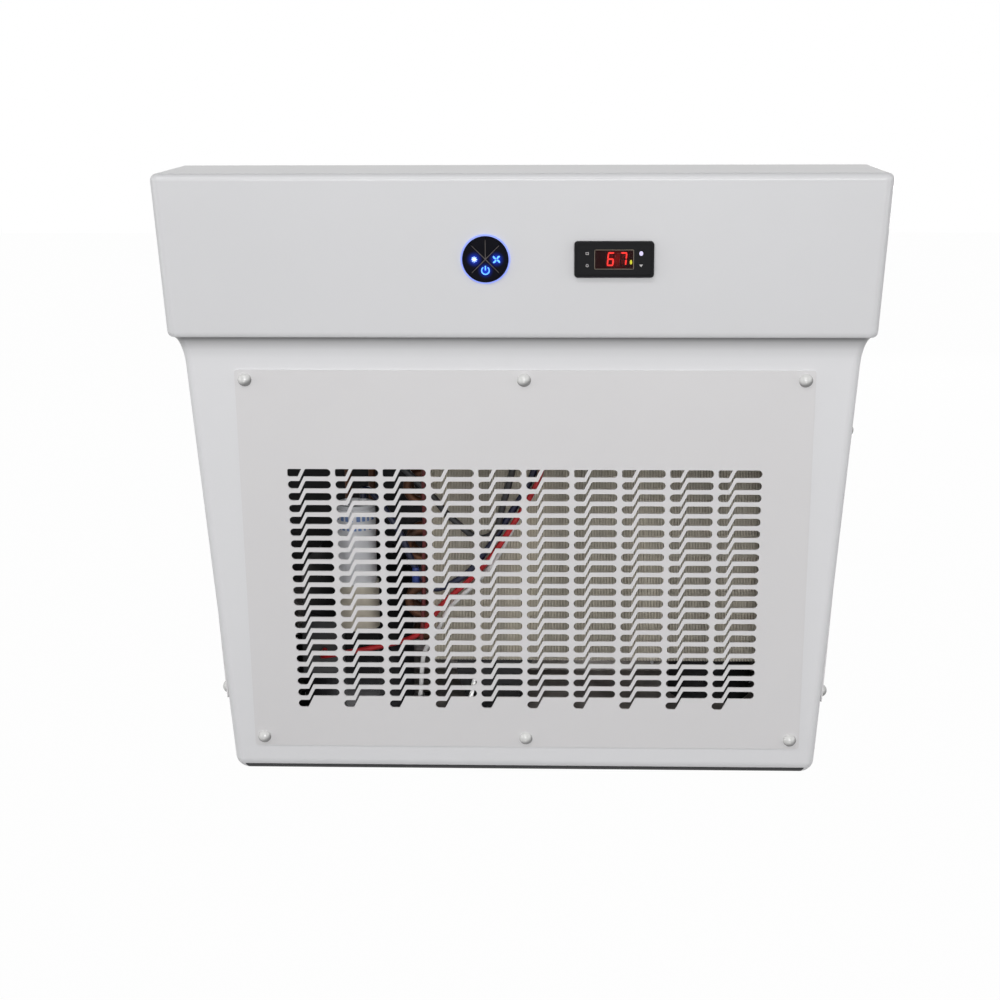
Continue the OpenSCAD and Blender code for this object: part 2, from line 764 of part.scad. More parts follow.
// Back panel and base
panel_inset = 2;
panel_low_z = foot_h;
vent_cols = 3;
vent_rows = 9;
vent_l = 120;
vent_w = 6;
vent_pitch = 14;
vent_z = 440;
flange_t = 4;
flange_d = 40;
gland_x = 120;
gland_z = 60;
gland_d = 16;
gland_l = 22;
nut_t = 4.5;

module rear_panel() {
    top_z = deck_z - panel_inset;
    color([0.8, 0.8, 0.8]) difference() {
        translate([0, panel_y, 0]) rotate([90, 0, 0]) linear_extrude(sheet_t) polygon([
            [-body_hw(panel_low_z) + skirt_r, panel_low_z], [body_hw(panel_low_z) - skirt_r, panel_low_z],
            [body_hw(2 * skirt_r) - panel_inset, 2 * skirt_r], [body_hw(body_mid_z)
                - panel_inset, body_mid_z],
            [header_hw(brow_z) - panel_inset, brow_z + brow_r], [header_hw(top_z) - panel_inset, top_z],
            [-header_hw(top_z) + panel_inset, top_z], [-header_hw(brow_z) + panel_inset, brow_z + brow_r],
            [-body_hw(body_mid_z) + panel_inset, body_mid_z], [-body_hw(2 * skirt_r)
                + panel_inset, 2 * skirt_r]]);
        for (i = [0 : vent_cols - 1], j = [0 : vent_rows - 1]) {
            on_back((i - (vent_cols - 1) / 2) * vent_l * 1.3, vent_z - j * vent_pitch)
                translate([0, 0, -sheet_t - eps]) linear_extrude(sheet_t + 2 * eps) round_bar(vent_l, vent_w);
        }
        for (p = back_pins) {
            on_back(p[0], p[1]) translate([0, 0, -sheet_t - eps])
                cylinder(d = screw_d + 2 * screw_fit, h = sheet_t + 2 * eps);
        }
        for (p = [[pump_x, pump_z], [barrel_x, outlet_mid_z]]) {
            on_back(p[0], p[1]) translate([0, 0, -sheet_t - eps])
                cylinder(d = spigot_d + 2 * fit, h = sheet_t + 2 * eps);
        }
        on_back(gland_x, gland_z) translate([0, 0, -sheet_t - eps])
            cylinder(d = gland_d + 2 * fit, h = sheet_t + 2 * eps);
    }
}
module rear_panel_screws() {
    color([0.6, 0.6, 0.62]) for (p = back_pins) {
        on_back(p[0], p[1]) {
            cylinder(d = head_d, h = head_h);
            translate([0, 0, -screw_l]) cylinder(d = screw_d, h = screw_l + head_h / 2);
        }
    }
}
tray_front_y = body_y(foot_h) + skirt_r;
module base_tray() {
    depth = rear_y - tray_front_y;
    color([0.45, 0.44, 0.42]) difference() {
        union() {
            translate([-tray_w / 2, tray_front_y, foot_h]) cube([tray_w, depth, tray_t]);
            for (side = [-1, 1]) {
                translate([side * (tray_w - tray_t) / 2 - tray_t / 2, tray_front_y + 2 * skirt_r, foot_h])
                    cube([tray_t, boss_rear_y - 2 * boss_r - tray_front_y - 2 * skirt_r, flange_h]);
            }
            translate([-tray_w / 2, rear_y - tray_t, foot_h]) cube([tray_w, tray_t, flange_h]);
        }
        for (p = tray_pins) {
            translate([p[0], p[1], foot_h - eps]) cylinder(d = tray_screw_d + 2 * screw_fit, h = 2 * tray_t);
        }
        for (x = [-1, 1], y = [front_feet_y, rear_feet_y]) {
            translate([x * foot_x, y, foot_h - eps]) cylinder(d = bolt_d + 2 * fit, h = 2 * tray_t);
        }
        for (p = back_pins) {
            on_back(p[0], p[1]) translate([0, 0, -sheet_t - 2 * tray_t])
                cylinder(d = screw_d + 2 * screw_fit, h = 3 * tray_t);
        }
    }
}
module tray_screws() {
    color([0.6, 0.6, 0.62]) for (p = tray_pins) {
        translate([p[0], p[1], foot_h - head_h]) cylinder(d = head_d + eps, h = head_h);
        translate([p[0], p[1], foot_h - head_h / 2]) cylinder(d = tray_screw_d, h = lug_z + head_h / 2);
    }
}
module feet() {
    color([0.08, 0.08, 0.08]) for (x = [-1, 1], y = [front_feet_y, rear_feet_y]) {
        translate([x * foot_x, y, 0]) difference() {
            rotate_extrude() polygon([[0, 0], [foot_d * 0.44, 0], [foot_d / 2, foot_h / 3],
                [foot_d / 2, foot_h], [0, foot_h]]);
            translate([0, 0, -eps]) cylinder(d = bolt_d + 2 * fit, h = foot_h + 2 * eps);
            translate([0, 0, -eps]) cylinder(d = 2.2 * bolt_d, h = foot_h * 0.6 + eps);
        }
    }
}
module foot_fixings() {
    color([0.6, 0.6, 0.62]) for (x = [-1, 1], y = [front_feet_y, rear_feet_y]) {
        translate([x * foot_x, y, foot_h * 0.6 - bolt_d / 2]) cylinder(d = 1.7 * bolt_d, h = bolt_d / 2);
        translate([x * foot_x, y, foot_h * 0.6 - bolt_d / 4]) cylinder(d = bolt_d, h = foot_h + bolt_d);
        translate([x * foot_x, y, floor_z]) difference() {
            cylinder(d = 1.9 * bolt_d, h = 0.8 * bolt_d, $fn = 6);
            translate([0, 0, -eps]) cylinder(d = bolt_d + 2 * fit, h = bolt_d + 2 * eps);
        }
    }
}

// Condenser and fan
end_t = 1.5;
row_ys = [fins_front_y + fins_d / 4, fins_front_y + fins_d * 3 / 4];
pass_pitch = fins_h / pass_count;
pass_reach = 8;
fan_x = fins_x + fins_w / 2;
fan_z = fins_z + fins_h / 2;
shroud_y = fins_front_y + fins_d;
fan_gap = 5;
mouth_t = 2;
shaft_d = 8;
hub_d = 86;
blade_t = 2.4;
blade_y = shroud_y + end_t + mouth_d / 2;
bracket_y = shroud_y + end_t + mouth_d + 8;
bracket_t = 3;
motor_y = bracket_y + bracket_t;
arm_w = 14;
arm_r = fan_r + 20;

module tube_holes(t) {
    for (y = row_ys, i = [0 : pass_count - 1]) {
        translate([-eps, y, fins_z + (i + 0.5) * pass_pitch]) rotate([0, 90, 0])
            cylinder(d = tube_d + 2 * fit, h = t + 2 * eps, $fn = 32);
    }
}
module condenser_fins() {
    gap_count = floor((fins_w - 2 * fin_pitch) / fin_pitch);
    color([0.66, 0.64, 0.6]) difference() {
        translate([fins_x, fins_front_y, fins_z]) cube([fins_w, fins_d, fins_h]);
        translate([fins_x, 0, 0]) tube_holes(fins_w);
        for (i = [0 : gap_count], y = [fins_front_y - eps, fins_front_y + fins_d - fin_gap_d]) {
            translate([fins_x + (i + 0.75) * fin_pitch, y, fins_z - eps])
                cube([fin_pitch / 2, fin_gap_d + eps, fins_h + 2 * eps]);
        }
    }
}
module condenser_coil() {
    color([0.75, 0.45, 0.3]) for (y = row_ys) {
        for (i = [0 : pass_count - 1]) {
            translate([fins_x - pass_reach, y, fins_z + (i + 0.5) * pass_pitch]) rotate([0, 90, 0])
                cylinder(d = tube_d, h = fins_w + 2 * pass_reach, $fn = 32);
        }
        for (i = [0 : pass_count - 2]) {
            right = i % 2;
            end_x = right == 0 ? fins_x + fins_w + pass_reach : fins_x - pass_reach;
            translate([end_x, y, fins_z + (i + 1) * pass_pitch]) rotate([90, 0, 0])
                rotate([0, 0, right == 0 ? -90 : 90])
                    rotate_extrude(angle = 180, $fn = 32) translate([pass_pitch / 2, 0])
                        circle(d = tube_d, $fn = 32);
        }
    }
}
module end_plate(side) {
    x = side < 0 ? fins_x - end_t : fins_x + fins_w;
    color([0.7, 0.7, 0.7]) difference() {
        union() {
            translate([x, fins_front_y, floor_z]) cube([end_t, fins_d, fins_z + fins_h - floor_z]);
            translate([side < 0 ? x : x - 2 * pass_reach, fins_front_y, floor_z])
                cube([2 * pass_reach + end_t, fins_d, end_t]);
        }
        translate([x, 0, 0]) tube_holes(end_t);
    }
}
module condenser_end_plates() {
    end_plate(-1);
    end_plate(1);
}
module fan_shroud() {
    color([0.3, 0.3, 0.3]) difference() {
        union() {
            translate([fins_x - end_t, shroud_y, fins_z]) cube([fins_w + 2 * end_t, end_t, fins_h]);
            translate([fan_x, shroud_y, fan_z]) rotate([-90, 0, 0])
                cylinder(r = fan_r + fan_gap + mouth_t, h = end_t + mouth_d);
        }
        translate([fan_x, shroud_y - eps, fan_z]) rotate([-90, 0, 0])
            cylinder(r = fan_r + fan_gap, h = end_t + mouth_d + 2 * eps);
    }
}
module fan_blades() {
    color([0.12, 0.12, 0.13]) translate([fan_x, blade_y, fan_z]) rotate([-90, 0, 0]) {
        translate([0, 0, -mouth_d / 2 + fan_gap / 2]) cylinder(d = hub_d, h = mouth_d - fan_gap);
        cylinder(d = shaft_d, h = motor_y + motor_l / 3 - blade_y);
        intersection() {
            cylinder(r = fan_r, h = mouth_d - fan_gap, center = true);
            for (i = [0 : blade_count - 1]) {
                rotate(i * 360 / blade_count) rotate([blade_pitch, 0, 0])
                    translate([hub_d / 3, -hub_d / 2, -blade_t / 2]) cube([fan_r, hub_d, blade_t]);
            }
        }
    }
}
module fan_bracket() {
    post_l = bracket_y - shroud_y - end_t;
    color([0.35, 0.35, 0.36]) translate([fan_x, bracket_y, fan_z]) rotate([-90, 0, 0]) {
        linear_extrude(bracket_t) difference() {
            union() {
                circle(d = motor_d);
                for (a = [45, 135]) {
                    rotate(a) square([2 * arm_r, arm_w], center = true);
                }
            }
            circle(d = 2 * shaft_d);
        }
        for (a = [45 : 90 : 315]) {
            rotate(a) translate([arm_r, 0, -post_l]) cylinder(d = arm_w + 2 * fan_gap,
                h = post_l + bracket_t / 2);
        }
    }
}
module fan_motor() {
    color([0.2, 0.2, 0.21]) translate([fan_x, motor_y, fan_z]) rotate([-90, 0, 0]) difference() {
        rotate_extrude() polygon([[0, 0], [motor_d / 2, 0], [motor_d / 2, motor_l * 0.8],
            [motor_d * 0.4, motor_l], [0, motor_l]]);
        translate([0, 0, -eps]) cylinder(d = shaft_d + 2 * fit, h = motor_l / 3 + 2 * eps);
    }
}

// Compressor and capacitor
grommet_h = 12;
grommet_d = 22;
plate_x = 75;
plate_y = 52;
grommet_inset = 14;
comp_z = floor_z + grommet_h;
comp_pins = [for (x = [-1, 1], y = [-1, 1])
    [comp_x + x * (plate_x - grommet_inset), comp_mid_y + y * (plate_y - grommet_inset)]];
cover_w = 46;
cover_h = 58;
cover_d = 20;
cover_z = comp_z + comp_h * 0.36;
boot_wall = 2;
upright_t = 2;
upright_w = 36;
capacitor_z = boot_top_z - boot_h * 0.6;

module compressor() {
    color([0.05, 0.05, 0.05]) {
        difference() {
            translate([comp_x - plate_x, comp_mid_y - plate_y, comp_z])
                cube([2 * plate_x, 2 * plate_y, bracket_t]);
            for (p = comp_pins) {
                translate([p[0], p[1], comp_z - eps]) cylinder(d = grommet_d / 2 + 2 * fit,
                    h = bracket_t + 2 * eps);
            }
        }
        translate([comp_x, comp_mid_y, comp_z + bracket_t / 2]) rotate_extrude()
            polygon([[0, 0], [comp_d * 0.36, 0],
            [comp_d / 2, comp_h * 0.1], [comp_d / 2, comp_h * 0.82], [comp_d * 0.45, comp_h * 0.92],
            [comp_d * 0.32, comp_h], [0, comp_h]]);
    }
}
module compressor_grommets() {
    color([0.1, 0.1, 0.1]) for (p = comp_pins) {
        translate([p[0], p[1], floor_z]) difference() {
            union() {
                cylinder(d = grommet_d, h = grommet_h);
                cylinder(d = grommet_d / 2, h = grommet_h + bracket_t);
            }
            translate([0, 0, -eps]) cylinder(d = bolt_d + 2 * fit, h = grommet_h + bracket_t + 2 * eps);
        }
    }
}
module compressor_bolts() {
    color([0.6, 0.6, 0.62]) for (p = comp_pins) {
        translate([p[0], p[1], floor_z]) cylinder(d = bolt_d, h = grommet_h + bracket_t + bolt_d / 2);
        translate([p[0], p[1], floor_z + grommet_h + bracket_t]) cylinder(d = 3 * bolt_d, h = bolt_d / 2);
    }
}
module compressor_terminal_cover() {
    color([0.15, 0.15, 0.16]) difference() {
        translate([comp_x - cover_w * 1.15, comp_mid_y - comp_d / 2 - cover_d / 2, cover_z])
            cube([cover_w, cover_d + comp_d / 2, cover_h]);
        translate([comp_x, comp_mid_y, cover_z - eps]) cylinder(d = comp_d + 4 * fit, h = cover_h + 2 * eps);
        translate([comp_x - header_w / 2, comp_mid_y, cover_z - eps]) cube([header_w, comp_d, cover_h + 2 * eps]);
    }
}
module run_capacitor() {
    color([0.9, 0.9, 0.88]) translate([capacitor_x, capacitor_mid_y, capacitor_z]) {
        cylinder(d = capacitor_d, h = boot_top_z + capacitor_h - capacitor_z);
        for (x = [-1, 1]) {
            translate([x * capacitor_d / 5, 0, boot_top_z + capacitor_h - capacitor_z - eps])
                cylinder(d = wire_d + 2 * eps, h = wire_d + eps);
        }
    }
}
module capacitor_boot() {
    color([0.78, 0.72, 0.58]) translate([capacitor_x, capacitor_mid_y, boot_top_z - boot_h]) difference() {
        cylinder(d = capacitor_d + 2 * boot_wall, h = boot_h);
        translate([0, 0, capacitor_z - boot_top_z + boot_h]) cylinder(d = capacitor_d + 2 * fit, h = boot_h);
    }
}
module capacitor_bracket() {
    y = capacitor_mid_y + capacitor_d / 2 + boot_wall;
    color([0.5, 0.5, 0.5]) {
        translate([capacitor_x - upright_w / 2, y, floor_z])
            cube([upright_w, upright_t, boot_top_z + boot_h - floor_z]);
        translate([capacitor_x - upright_w / 2, capacitor_mid_y, boot_top_z - boot_h - upright_t])
            cube([upright_w, y - capacitor_mid_y + upright_t / 2, upright_t]);
        translate([capacitor_x - upright_w / 2, capacitor_mid_y, floor_z])
            cube([upright_w, y - capacitor_mid_y + upright_t / 2, upright_t]);
    }
}

// Water circuit
pump_inset = 73;
pump_y = rear_y - pump_inset;
pump_motor_d = 80;
pump_motor_l = 92;
volute_d = 100;
volute_l = 40;
volute_wall = 4;
stub_reach = 16;
barrel_inset = 67;
barrel_y = rear_y - barrel_inset;
hose_z = 210;
hose_bend = 40;
hose_d = spigot_d + 2 * fit + 2 * hose_wall;
vane_count = 6;
volute_y = pump_y + volute_l / 2;
port_reach = 22;
inner_inset = 10;
inner_end_y = rear_y - inner_inset;

module pump_motor() {
    color([0.15, 0.2, 0.3]) difference() {
        union() {
            translate([pump_x, pump_y - pump_motor_l, pump_z]) rotate([-90, 0, 0])
                cylinder(d = pump_motor_d, h = pump_motor_l);
            translate([pump_x - pump_motor_d * 0.4, pump_y - pump_motor_l * 0.8, floor_z])
                cube([pump_motor_d * 0.8, pump_motor_l * 0.6, pump_z - floor_z]);
        }
        translate([pump_x, pump_y - pump_motor_l / 3, pump_z]) rotate([-90, 0, 0])
            cylinder(d = shaft_d + 2 * fit, h = pump_motor_l);
    }
}
module pump_volute() {
    color([0.1, 0.1, 0.11]) difference() {
        union() {
            translate([pump_x, pump_y, pump_z]) rotate([-90, 0, 0]) cylinder(d = volute_d, h = volute_l);
            translate([pump_x, pump_y + volute_l / 2, pump_z]) rotate([-90, 0, 0])
                cylinder(d = spigot_d, h = volute_l / 2 + stub_reach);
            translate([pump_x, volute_y, pump_z]) cylinder(d = spigot_d, h = volute_d / 2 + 2 * stub_reach);
        }
        translate([pump_x, pump_y + volute_wall, pump_z]) rotate([-90, 0, 0])
            cylinder(d = volute_d - 2 * volute_wall, h = volute_l - 2 * volute_wall);
        translate([pump_x, pump_y - eps, pump_z]) rotate([-90, 0, 0])
            cylinder(d = shaft_d + 2 * fit, h = volute_wall + 2 * eps);
        translate([pump_x, volute_y, pump_z]) rotate([-90, 0, 0])
            cylinder(d = spigot_bore, h = volute_l + stub_reach);
        translate([pump_x, volute_y, pump_z]) cylinder(d = spigot_bore, h = volute_d + stub_reach);
    }
}
module pump_impeller() {
    hub_y = pump_y + 2 * volute_wall;
    color([0.7, 0.7, 0.72]) translate([pump_x, hub_y, pump_z]) rotate([-90, 0, 0]) {
        cylinder(d = volute_d * 0.72, h = bracket_t);
        translate([0, 0, -pump_motor_l / 3 - volute_wall])
            cylinder(d = shaft_d, h = pump_motor_l / 3 + 3 * volute_wall);
        intersection() {
            cylinder(d = volute_d * 0.72, h = 3 * volute_wall);
            for (i = [0 : vane_count - 1]) {
                rotate(i * 360 / vane_count) translate([shaft_d / 4, shaft_d / 2, 0])
                    cube([volute_d / 2, bracket_t, 3 * volute_wall]);
            }
        }
    }
}
module exchanger_barrel() {
    color([0.85, 0.85, 0.83]) translate([barrel_x, barrel_y, floor_z]) {
        rotate_extrude() polygon([[0, 0], [barrel_d / 2, 0], [barrel_d / 2, barrel_h * 0.97],
            [barrel_d * 0.46, barrel_h], [0, barrel_h]]);
        translate([-barrel_d / 2 - port_reach, volute_y - barrel_y, hose_z - floor_z]) rotate([0, 90, 0])
            cylinder(d = spigot_d, h = barrel_d / 2 + port_reach);
        translate([0, 0, outlet_mid_z - floor_z]) rotate([-90, 0, 0])
            cylinder(d = spigot_d, h = inner_end_y - barrel_y);
    }
}
module spigot() {
    translate([0, 0, -panel_y + inner_end_y]) pipe(spigot_d, spigot_bore,
        panel_y - inner_end_y + spigot_l - sheet_t);
    pipe(flange_d, spigot_bore, flange_t);
}
module water_spigots() {
    color([0.2, 0.2, 0.22]) {
        on_back(pump_x, pump_z) spigot();
        on_back(barrel_x, outlet_mid_z) spigot();
    }
}
module panel_nut(d, across) {
    translate([0, 0, -sheet_t - nut_t]) difference() {
        cylinder(d = across, h = nut_t, $fn = 6);
        translate([0, 0, -eps]) cylinder(d = d + 2 * fit, h = nut_t + 2 * eps);
    }
}
module panel_nuts() {
    color([0.2, 0.2, 0.22]) {
        on_back(pump_x, pump_z) panel_nut(spigot_d, flange_d);
        on_back(barrel_x, outlet_mid_z) panel_nut(spigot_d, flange_d);
        on_back(gland_x, gland_z) panel_nut(gland_d, gland_d * 1.6);
    }
}
module water_hoses() {
    low_z = pump_z + volute_d / 2 + gap;
    end_x = barrel_x - barrel_d / 2 - gap;
    inlet_y = pump_y + volute_l + gap;
    outlet_y = barrel_y + barrel_d / 2 + gap;
    nut_y = rear_y - nut_t - gap;
    color([0.1, 0.1, 0.1]) {
        translate([pump_x, inlet_y, pump_z]) rotate([-90, 0, 0])
            pipe(hose_d, spigot_d + 2 * fit, nut_y - inlet_y);
        translate([barrel_x, outlet_y, outlet_mid_z]) rotate([-90, 0, 0])
            pipe(hose_d, spigot_d + 2 * fit, nut_y - outlet_y);
        translate([pump_x, volute_y, low_z]) pipe(hose_d, spigot_d + 2 * fit, hose_z - hose_bend - low_z);
        translate([pump_x + hose_bend, volute_y, hose_z - hose_bend]) rotate([90, 0, 0]) rotate([0, 0, 90])
            rotate_extrude(angle = 90) translate([hose_bend, 0]) difference() {
                circle(d = hose_d);
                circle(d = spigot_d + 2 * fit);
            }
        translate([pump_x + hose_bend, volute_y, hose_z]) rotate([0, 90, 0])
            pipe(hose_d, spigot_d + 2 * fit, end_x - pump_x - hose_bend);
    }
}

// Electrics
box_w = 240;
box_h = 96;
box_d = 56;
box_drop = 112;
box_z = deck_z - box_drop;
lid_t = 2.5;
module control_box() {
    color([0.25, 0.25, 0.26]) difference() {
        translate([-box_w / 2, rear_y - box_d, box_z]) cube([box_w, box_d, box_h]);
        translate([-box_w / 2 + lid_t, rear_y - box_d - eps, box_z + lid_t])
            cube([box_w - 2 * lid_t, box_d - lid_t + eps, box_h - 2 * lid_t]);
    }
}
module control_box_lid() {
    color([0.3, 0.3, 0.31]) translate([-box_w / 2, rear_y - box_d - lid_t, box_z])
        cube([box_w, lid_t, box_h]);
}
module cable_gland() {
    color([0.08, 0.08, 0.08]) on_back(gland_x, gland_z) difference() {
        union() {
            cylinder(d = gland_d * 1.45, h = gland_l * 0.4, $fn = 6);
            cylinder(d = gland_d * 1.15, h = gland_l);
            translate([0, 0, -sheet_t - 1.6 * nut_t]) cylinder(d = gland_d, h = 2 * nut_t);
        }
        translate([0, 0, -gland_l]) cylinder(d = gland_bore, h = 3 * gland_l);
    }
}
// The leads run in front of the finned block and up to the thermostat
lead_y = fins_front_y - wire_d / 2 - gap;
thermo_back_y = header_y(control_mid_z) + thermo_d * cos(header_lean) + gap;
thermo_back_z = control_mid_z + thermo_d * sin(header_lean);
cover_y = comp_mid_y - comp_d / 2 - cover_d / 2 - gap / 2;
module wire_red() {
    color([0.6, 0.05, 0.04]) run([[-219, cover_y, 120], [-219, -100, 120], [-214, -113, 124],
        [-150, -125, 140], [-112, lead_y, 155], [-84, lead_y, 190], [-56, lead_y, 216], [-35, lead_y, 240],
        [-8, lead_y, 281], [18, lead_y, 330], [40, lead_y, 442], [80, -116, 505],
        [84, -118, thermo_back_z], [84, thermo_back_y, thermo_back_z]], wire_d);
}
module wire_white() {
    color([0.9, 0.9, 0.9]) run([[-60, pump_y - pump_motor_l - gap / 2, 60], [-60, -10, 60], [-66, -22, 40],
        [-108, -40, 20], [-124, -100, 22], [-122, -133, 45], [-111, -131, 84], [-105, lead_y, 135],
        [-88, lead_y, 165], [-78, lead_y, 184], [-51, lead_y, 211], [-30, lead_y, 236], [-3, lead_y, 278],
        [23, lead_y, 328], [46, lead_y, 442], [88, -116, 503], [92, -118, thermo_back_z],
        [92, thermo_back_y, thermo_back_z]], wire_d);
}
module wire_blue() {
    can_top_z = boot_top_z + capacitor_h + wire_d + gap / 2;
    color([0.1, 0.2, 0.6]) run([[capacitor_x + capacitor_d / 5, capacitor_mid_y, can_top_z],
        [capacitor_x + capacitor_d / 5, capacitor_mid_y, can_top_z + 2 * wire_d], [-160, -116, 307],
        [-130, -130, 268], [-112, lead_y, 226], [-94, lead_y, 206], [-62, lead_y, 220], [-42, lead_y, 243],
        [-15, lead_y, 284], [11, lead_y, 332], [33, lead_y, 442], [72, -116, 507],
        [76, -118, thermo_back_z], [76, thermo_back_y, thermo_back_z]], wire_d);
}

// Refrigerant circuit
drier_x = -20;
drier_inset = 105;
drier_y = rear_y - drier_inset;
drier_z = 200;
drier_d = 30;
drier_l = 110;
drier_lead = 35;
port_r = 20;
riser_inset = 68;
riser_y = fins_front_y + riser_inset;
riser_z = 380;
riser_bend = 20;
liquid_inset = 158;
liquid_y = fins_front_y + liquid_inset;
capillary_rise = 42;
suction_rise = 66;
suction_x = -150;
suction_z = 300;
module refrigerant_lines() {
    comp_top = comp_z + bracket_t / 2 + comp_h + gap / 2;
    high_z = fins_z + fins_h - pass_pitch / 2;
    low_z = fins_z + pass_pitch / 2;
    coil_x = fins_x - pass_reach - gap / 2;
    riser_x = fins_x - 3.5 * line_d;
    liquid_x = fins_x - 2.5 * line_d;
    barrel_top = floor_z + barrel_h;
    capillary_z = barrel_top + capillary_rise;
    return_z = barrel_top + suction_rise;
    color([0.75, 0.45, 0.3]) {
        run([[comp_x + port_r, comp_mid_y - port_r / 2, comp_top], [comp_x + port_r, comp_mid_y - port_r / 2,
            riser_z],
            [riser_x, riser_y, riser_z + riser_bend], [riser_x, row_ys[0], high_z],
            [coil_x, row_ys[0], high_z]], line_d);
        run([[coil_x, row_ys[1], low_z], [liquid_x, row_ys[1], low_z], [liquid_x, liquid_y, low_z],
            [drier_x, drier_y, drier_z - drier_lead], [drier_x, drier_y, drier_z - gap / 2]], line_d);
        run([[drier_x, drier_y, drier_z + drier_l + gap / 2], [drier_x, drier_y,
            drier_z + drier_l + 2 * port_r],
            [barrel_x - port_r, drier_y, capillary_z], [barrel_x - port_r, barrel_y, capillary_z],
            [barrel_x - port_r, barrel_y, barrel_top + gap / 2]], line_d / 2);
        run([[barrel_x + port_r, barrel_y, barrel_top + gap / 2], [barrel_x + port_r, barrel_y, return_z],
            [suction_x, drier_y, return_z], [comp_x - port_r / 2, comp_mid_y + port_r, suction_z],
            [comp_x - port_r / 2, comp_mid_y + port_r, comp_top]], line_d);
    }
}
module filter_drier() {
    color([0.7, 0.4, 0.25]) translate([drier_x, drier_y, drier_z]) rotate_extrude() polygon([[0, 0],
        [drier_d / 4, 0], [drier_d / 2, drier_d / 3], [drier_d / 2, drier_l - drier_d / 3],
        [drier_d / 4, drier_l], [0, drier_l]]);
}
probe_d = 6;
probe_l = 40;
probe_x = 100;
module temperature_probe() {
    probe_y = barrel_y - port_r;
    probe_z = floor_z + barrel_h + gap / 2;
    lead_z = probe_z + 2 * probe_l + port_r / 2;
    color([0.7, 0.7, 0.72]) {
        translate([barrel_x, probe_y, probe_z]) cylinder(d = probe_d, h = probe_l);
        run([[barrel_x, probe_y, probe_z + probe_l - wire_d / 2], [barrel_x, probe_y, lead_z],
            [probe_x, rear_y - box_d / 2, lead_z + 2 * port_r],
            [probe_x, rear_y - box_d / 2, box_z - gap / 2]], wire_d / 2);
    }
}

cabinet_shell();
front_grille();
side_grille_left();
side_grille_right();
plate_screws();
plate_caps();
keypad_housing();
keypad_light_ring();
keypad_nut();
key_fan();
key_upper_right();
key_upper_left();
key_light();
key_power();
thermostat_bezel();
thermostat_case();
thermostat_window();
thermostat_display();
display_digits();
button_set();
button_timer();
button_up();
button_down();
thermostat_clips();
rear_panel();
rear_panel_screws();
base_tray();
tray_screws();
feet();
foot_fixings();
condenser_fins();
condenser_coil();
condenser_end_plates();
fan_shroud();
fan_blades();
fan_bracket();
fan_motor();
compressor();
compressor_grommets();
compressor_bolts();
compressor_terminal_cover();
run_capacitor();
capacitor_boot();
capacitor_bracket();
pump_motor();
pump_volute();
pump_impeller();
exchanger_barrel();
water_spigots();
panel_nuts();
water_hoses();
control_box();
control_box_lid();
cable_gland();
wire_red();
wire_white();
wire_blue();
refrigerant_lines();
filter_drier();
temperature_probe();
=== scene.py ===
"""Looks of a free-standing water chiller for a cold plunge tub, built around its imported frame."""
import json
import math
import random

import bmesh
import bpy
from mathutils import Matrix, Vector


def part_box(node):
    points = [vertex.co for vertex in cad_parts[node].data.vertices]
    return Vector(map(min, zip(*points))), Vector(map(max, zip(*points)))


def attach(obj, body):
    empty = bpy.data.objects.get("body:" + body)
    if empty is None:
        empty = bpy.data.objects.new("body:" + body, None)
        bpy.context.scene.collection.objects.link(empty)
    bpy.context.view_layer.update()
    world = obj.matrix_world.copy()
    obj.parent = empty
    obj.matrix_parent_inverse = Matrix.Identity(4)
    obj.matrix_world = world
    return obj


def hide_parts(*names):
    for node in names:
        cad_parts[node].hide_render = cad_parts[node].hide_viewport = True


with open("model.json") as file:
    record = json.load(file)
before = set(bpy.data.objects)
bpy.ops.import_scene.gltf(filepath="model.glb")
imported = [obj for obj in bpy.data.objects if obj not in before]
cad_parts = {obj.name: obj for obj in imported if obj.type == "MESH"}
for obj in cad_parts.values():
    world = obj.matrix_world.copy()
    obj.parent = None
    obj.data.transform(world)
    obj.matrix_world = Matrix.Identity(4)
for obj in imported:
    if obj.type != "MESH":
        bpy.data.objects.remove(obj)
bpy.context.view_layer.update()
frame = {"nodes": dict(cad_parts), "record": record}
NODES = frame["nodes"]
SCENE = bpy.context.scene
SCENE.view_settings.view_transform = "Standard"

# Driving sizes in metres, as the frame has them
CABINET_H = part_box("cabinet_shell")[1].z
HEADER_W = 0.716
CABINET_D = 0.370
REAR_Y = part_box("cabinet_shell")[1].y
FRONT_Y = REAR_Y - CABINET_D
HEADER_H = 0.160
BODY_W = 0.675
HEADER_PROUD = 0.0093
HEADER_DRAFT = math.tan(math.radians(2.9))
BODY_DRAFT = math.tan(math.radians(3.46))
HEADER_LEAN = math.radians(3.4)
FACE_LEAN = math.radians(4.9)
LEDGE_Y = FRONT_Y + 0.141
DECK_Z = CABINET_H - 0.030
WALL = 0.004
COVE_H = 0.030
COVE_SHARE = 0.72
# Painted shade: the height of the shade painted into the cove under the brow, the darker tone painted on the
# header, and the darkest tone painted in the cove
SHADE_H = 0.022
HEADER_PAINTED_SHADE = 0.89
COVE_PAINTED_SHADE = 0.27
# Painted shade on the cap domes: the darkest share and the light direction that it is painted from
CAP_PAINTED_SHADE = 0.32
CAP_PAINTED_LIGHT_WAY = (-0.35, -0.52, 0.78)
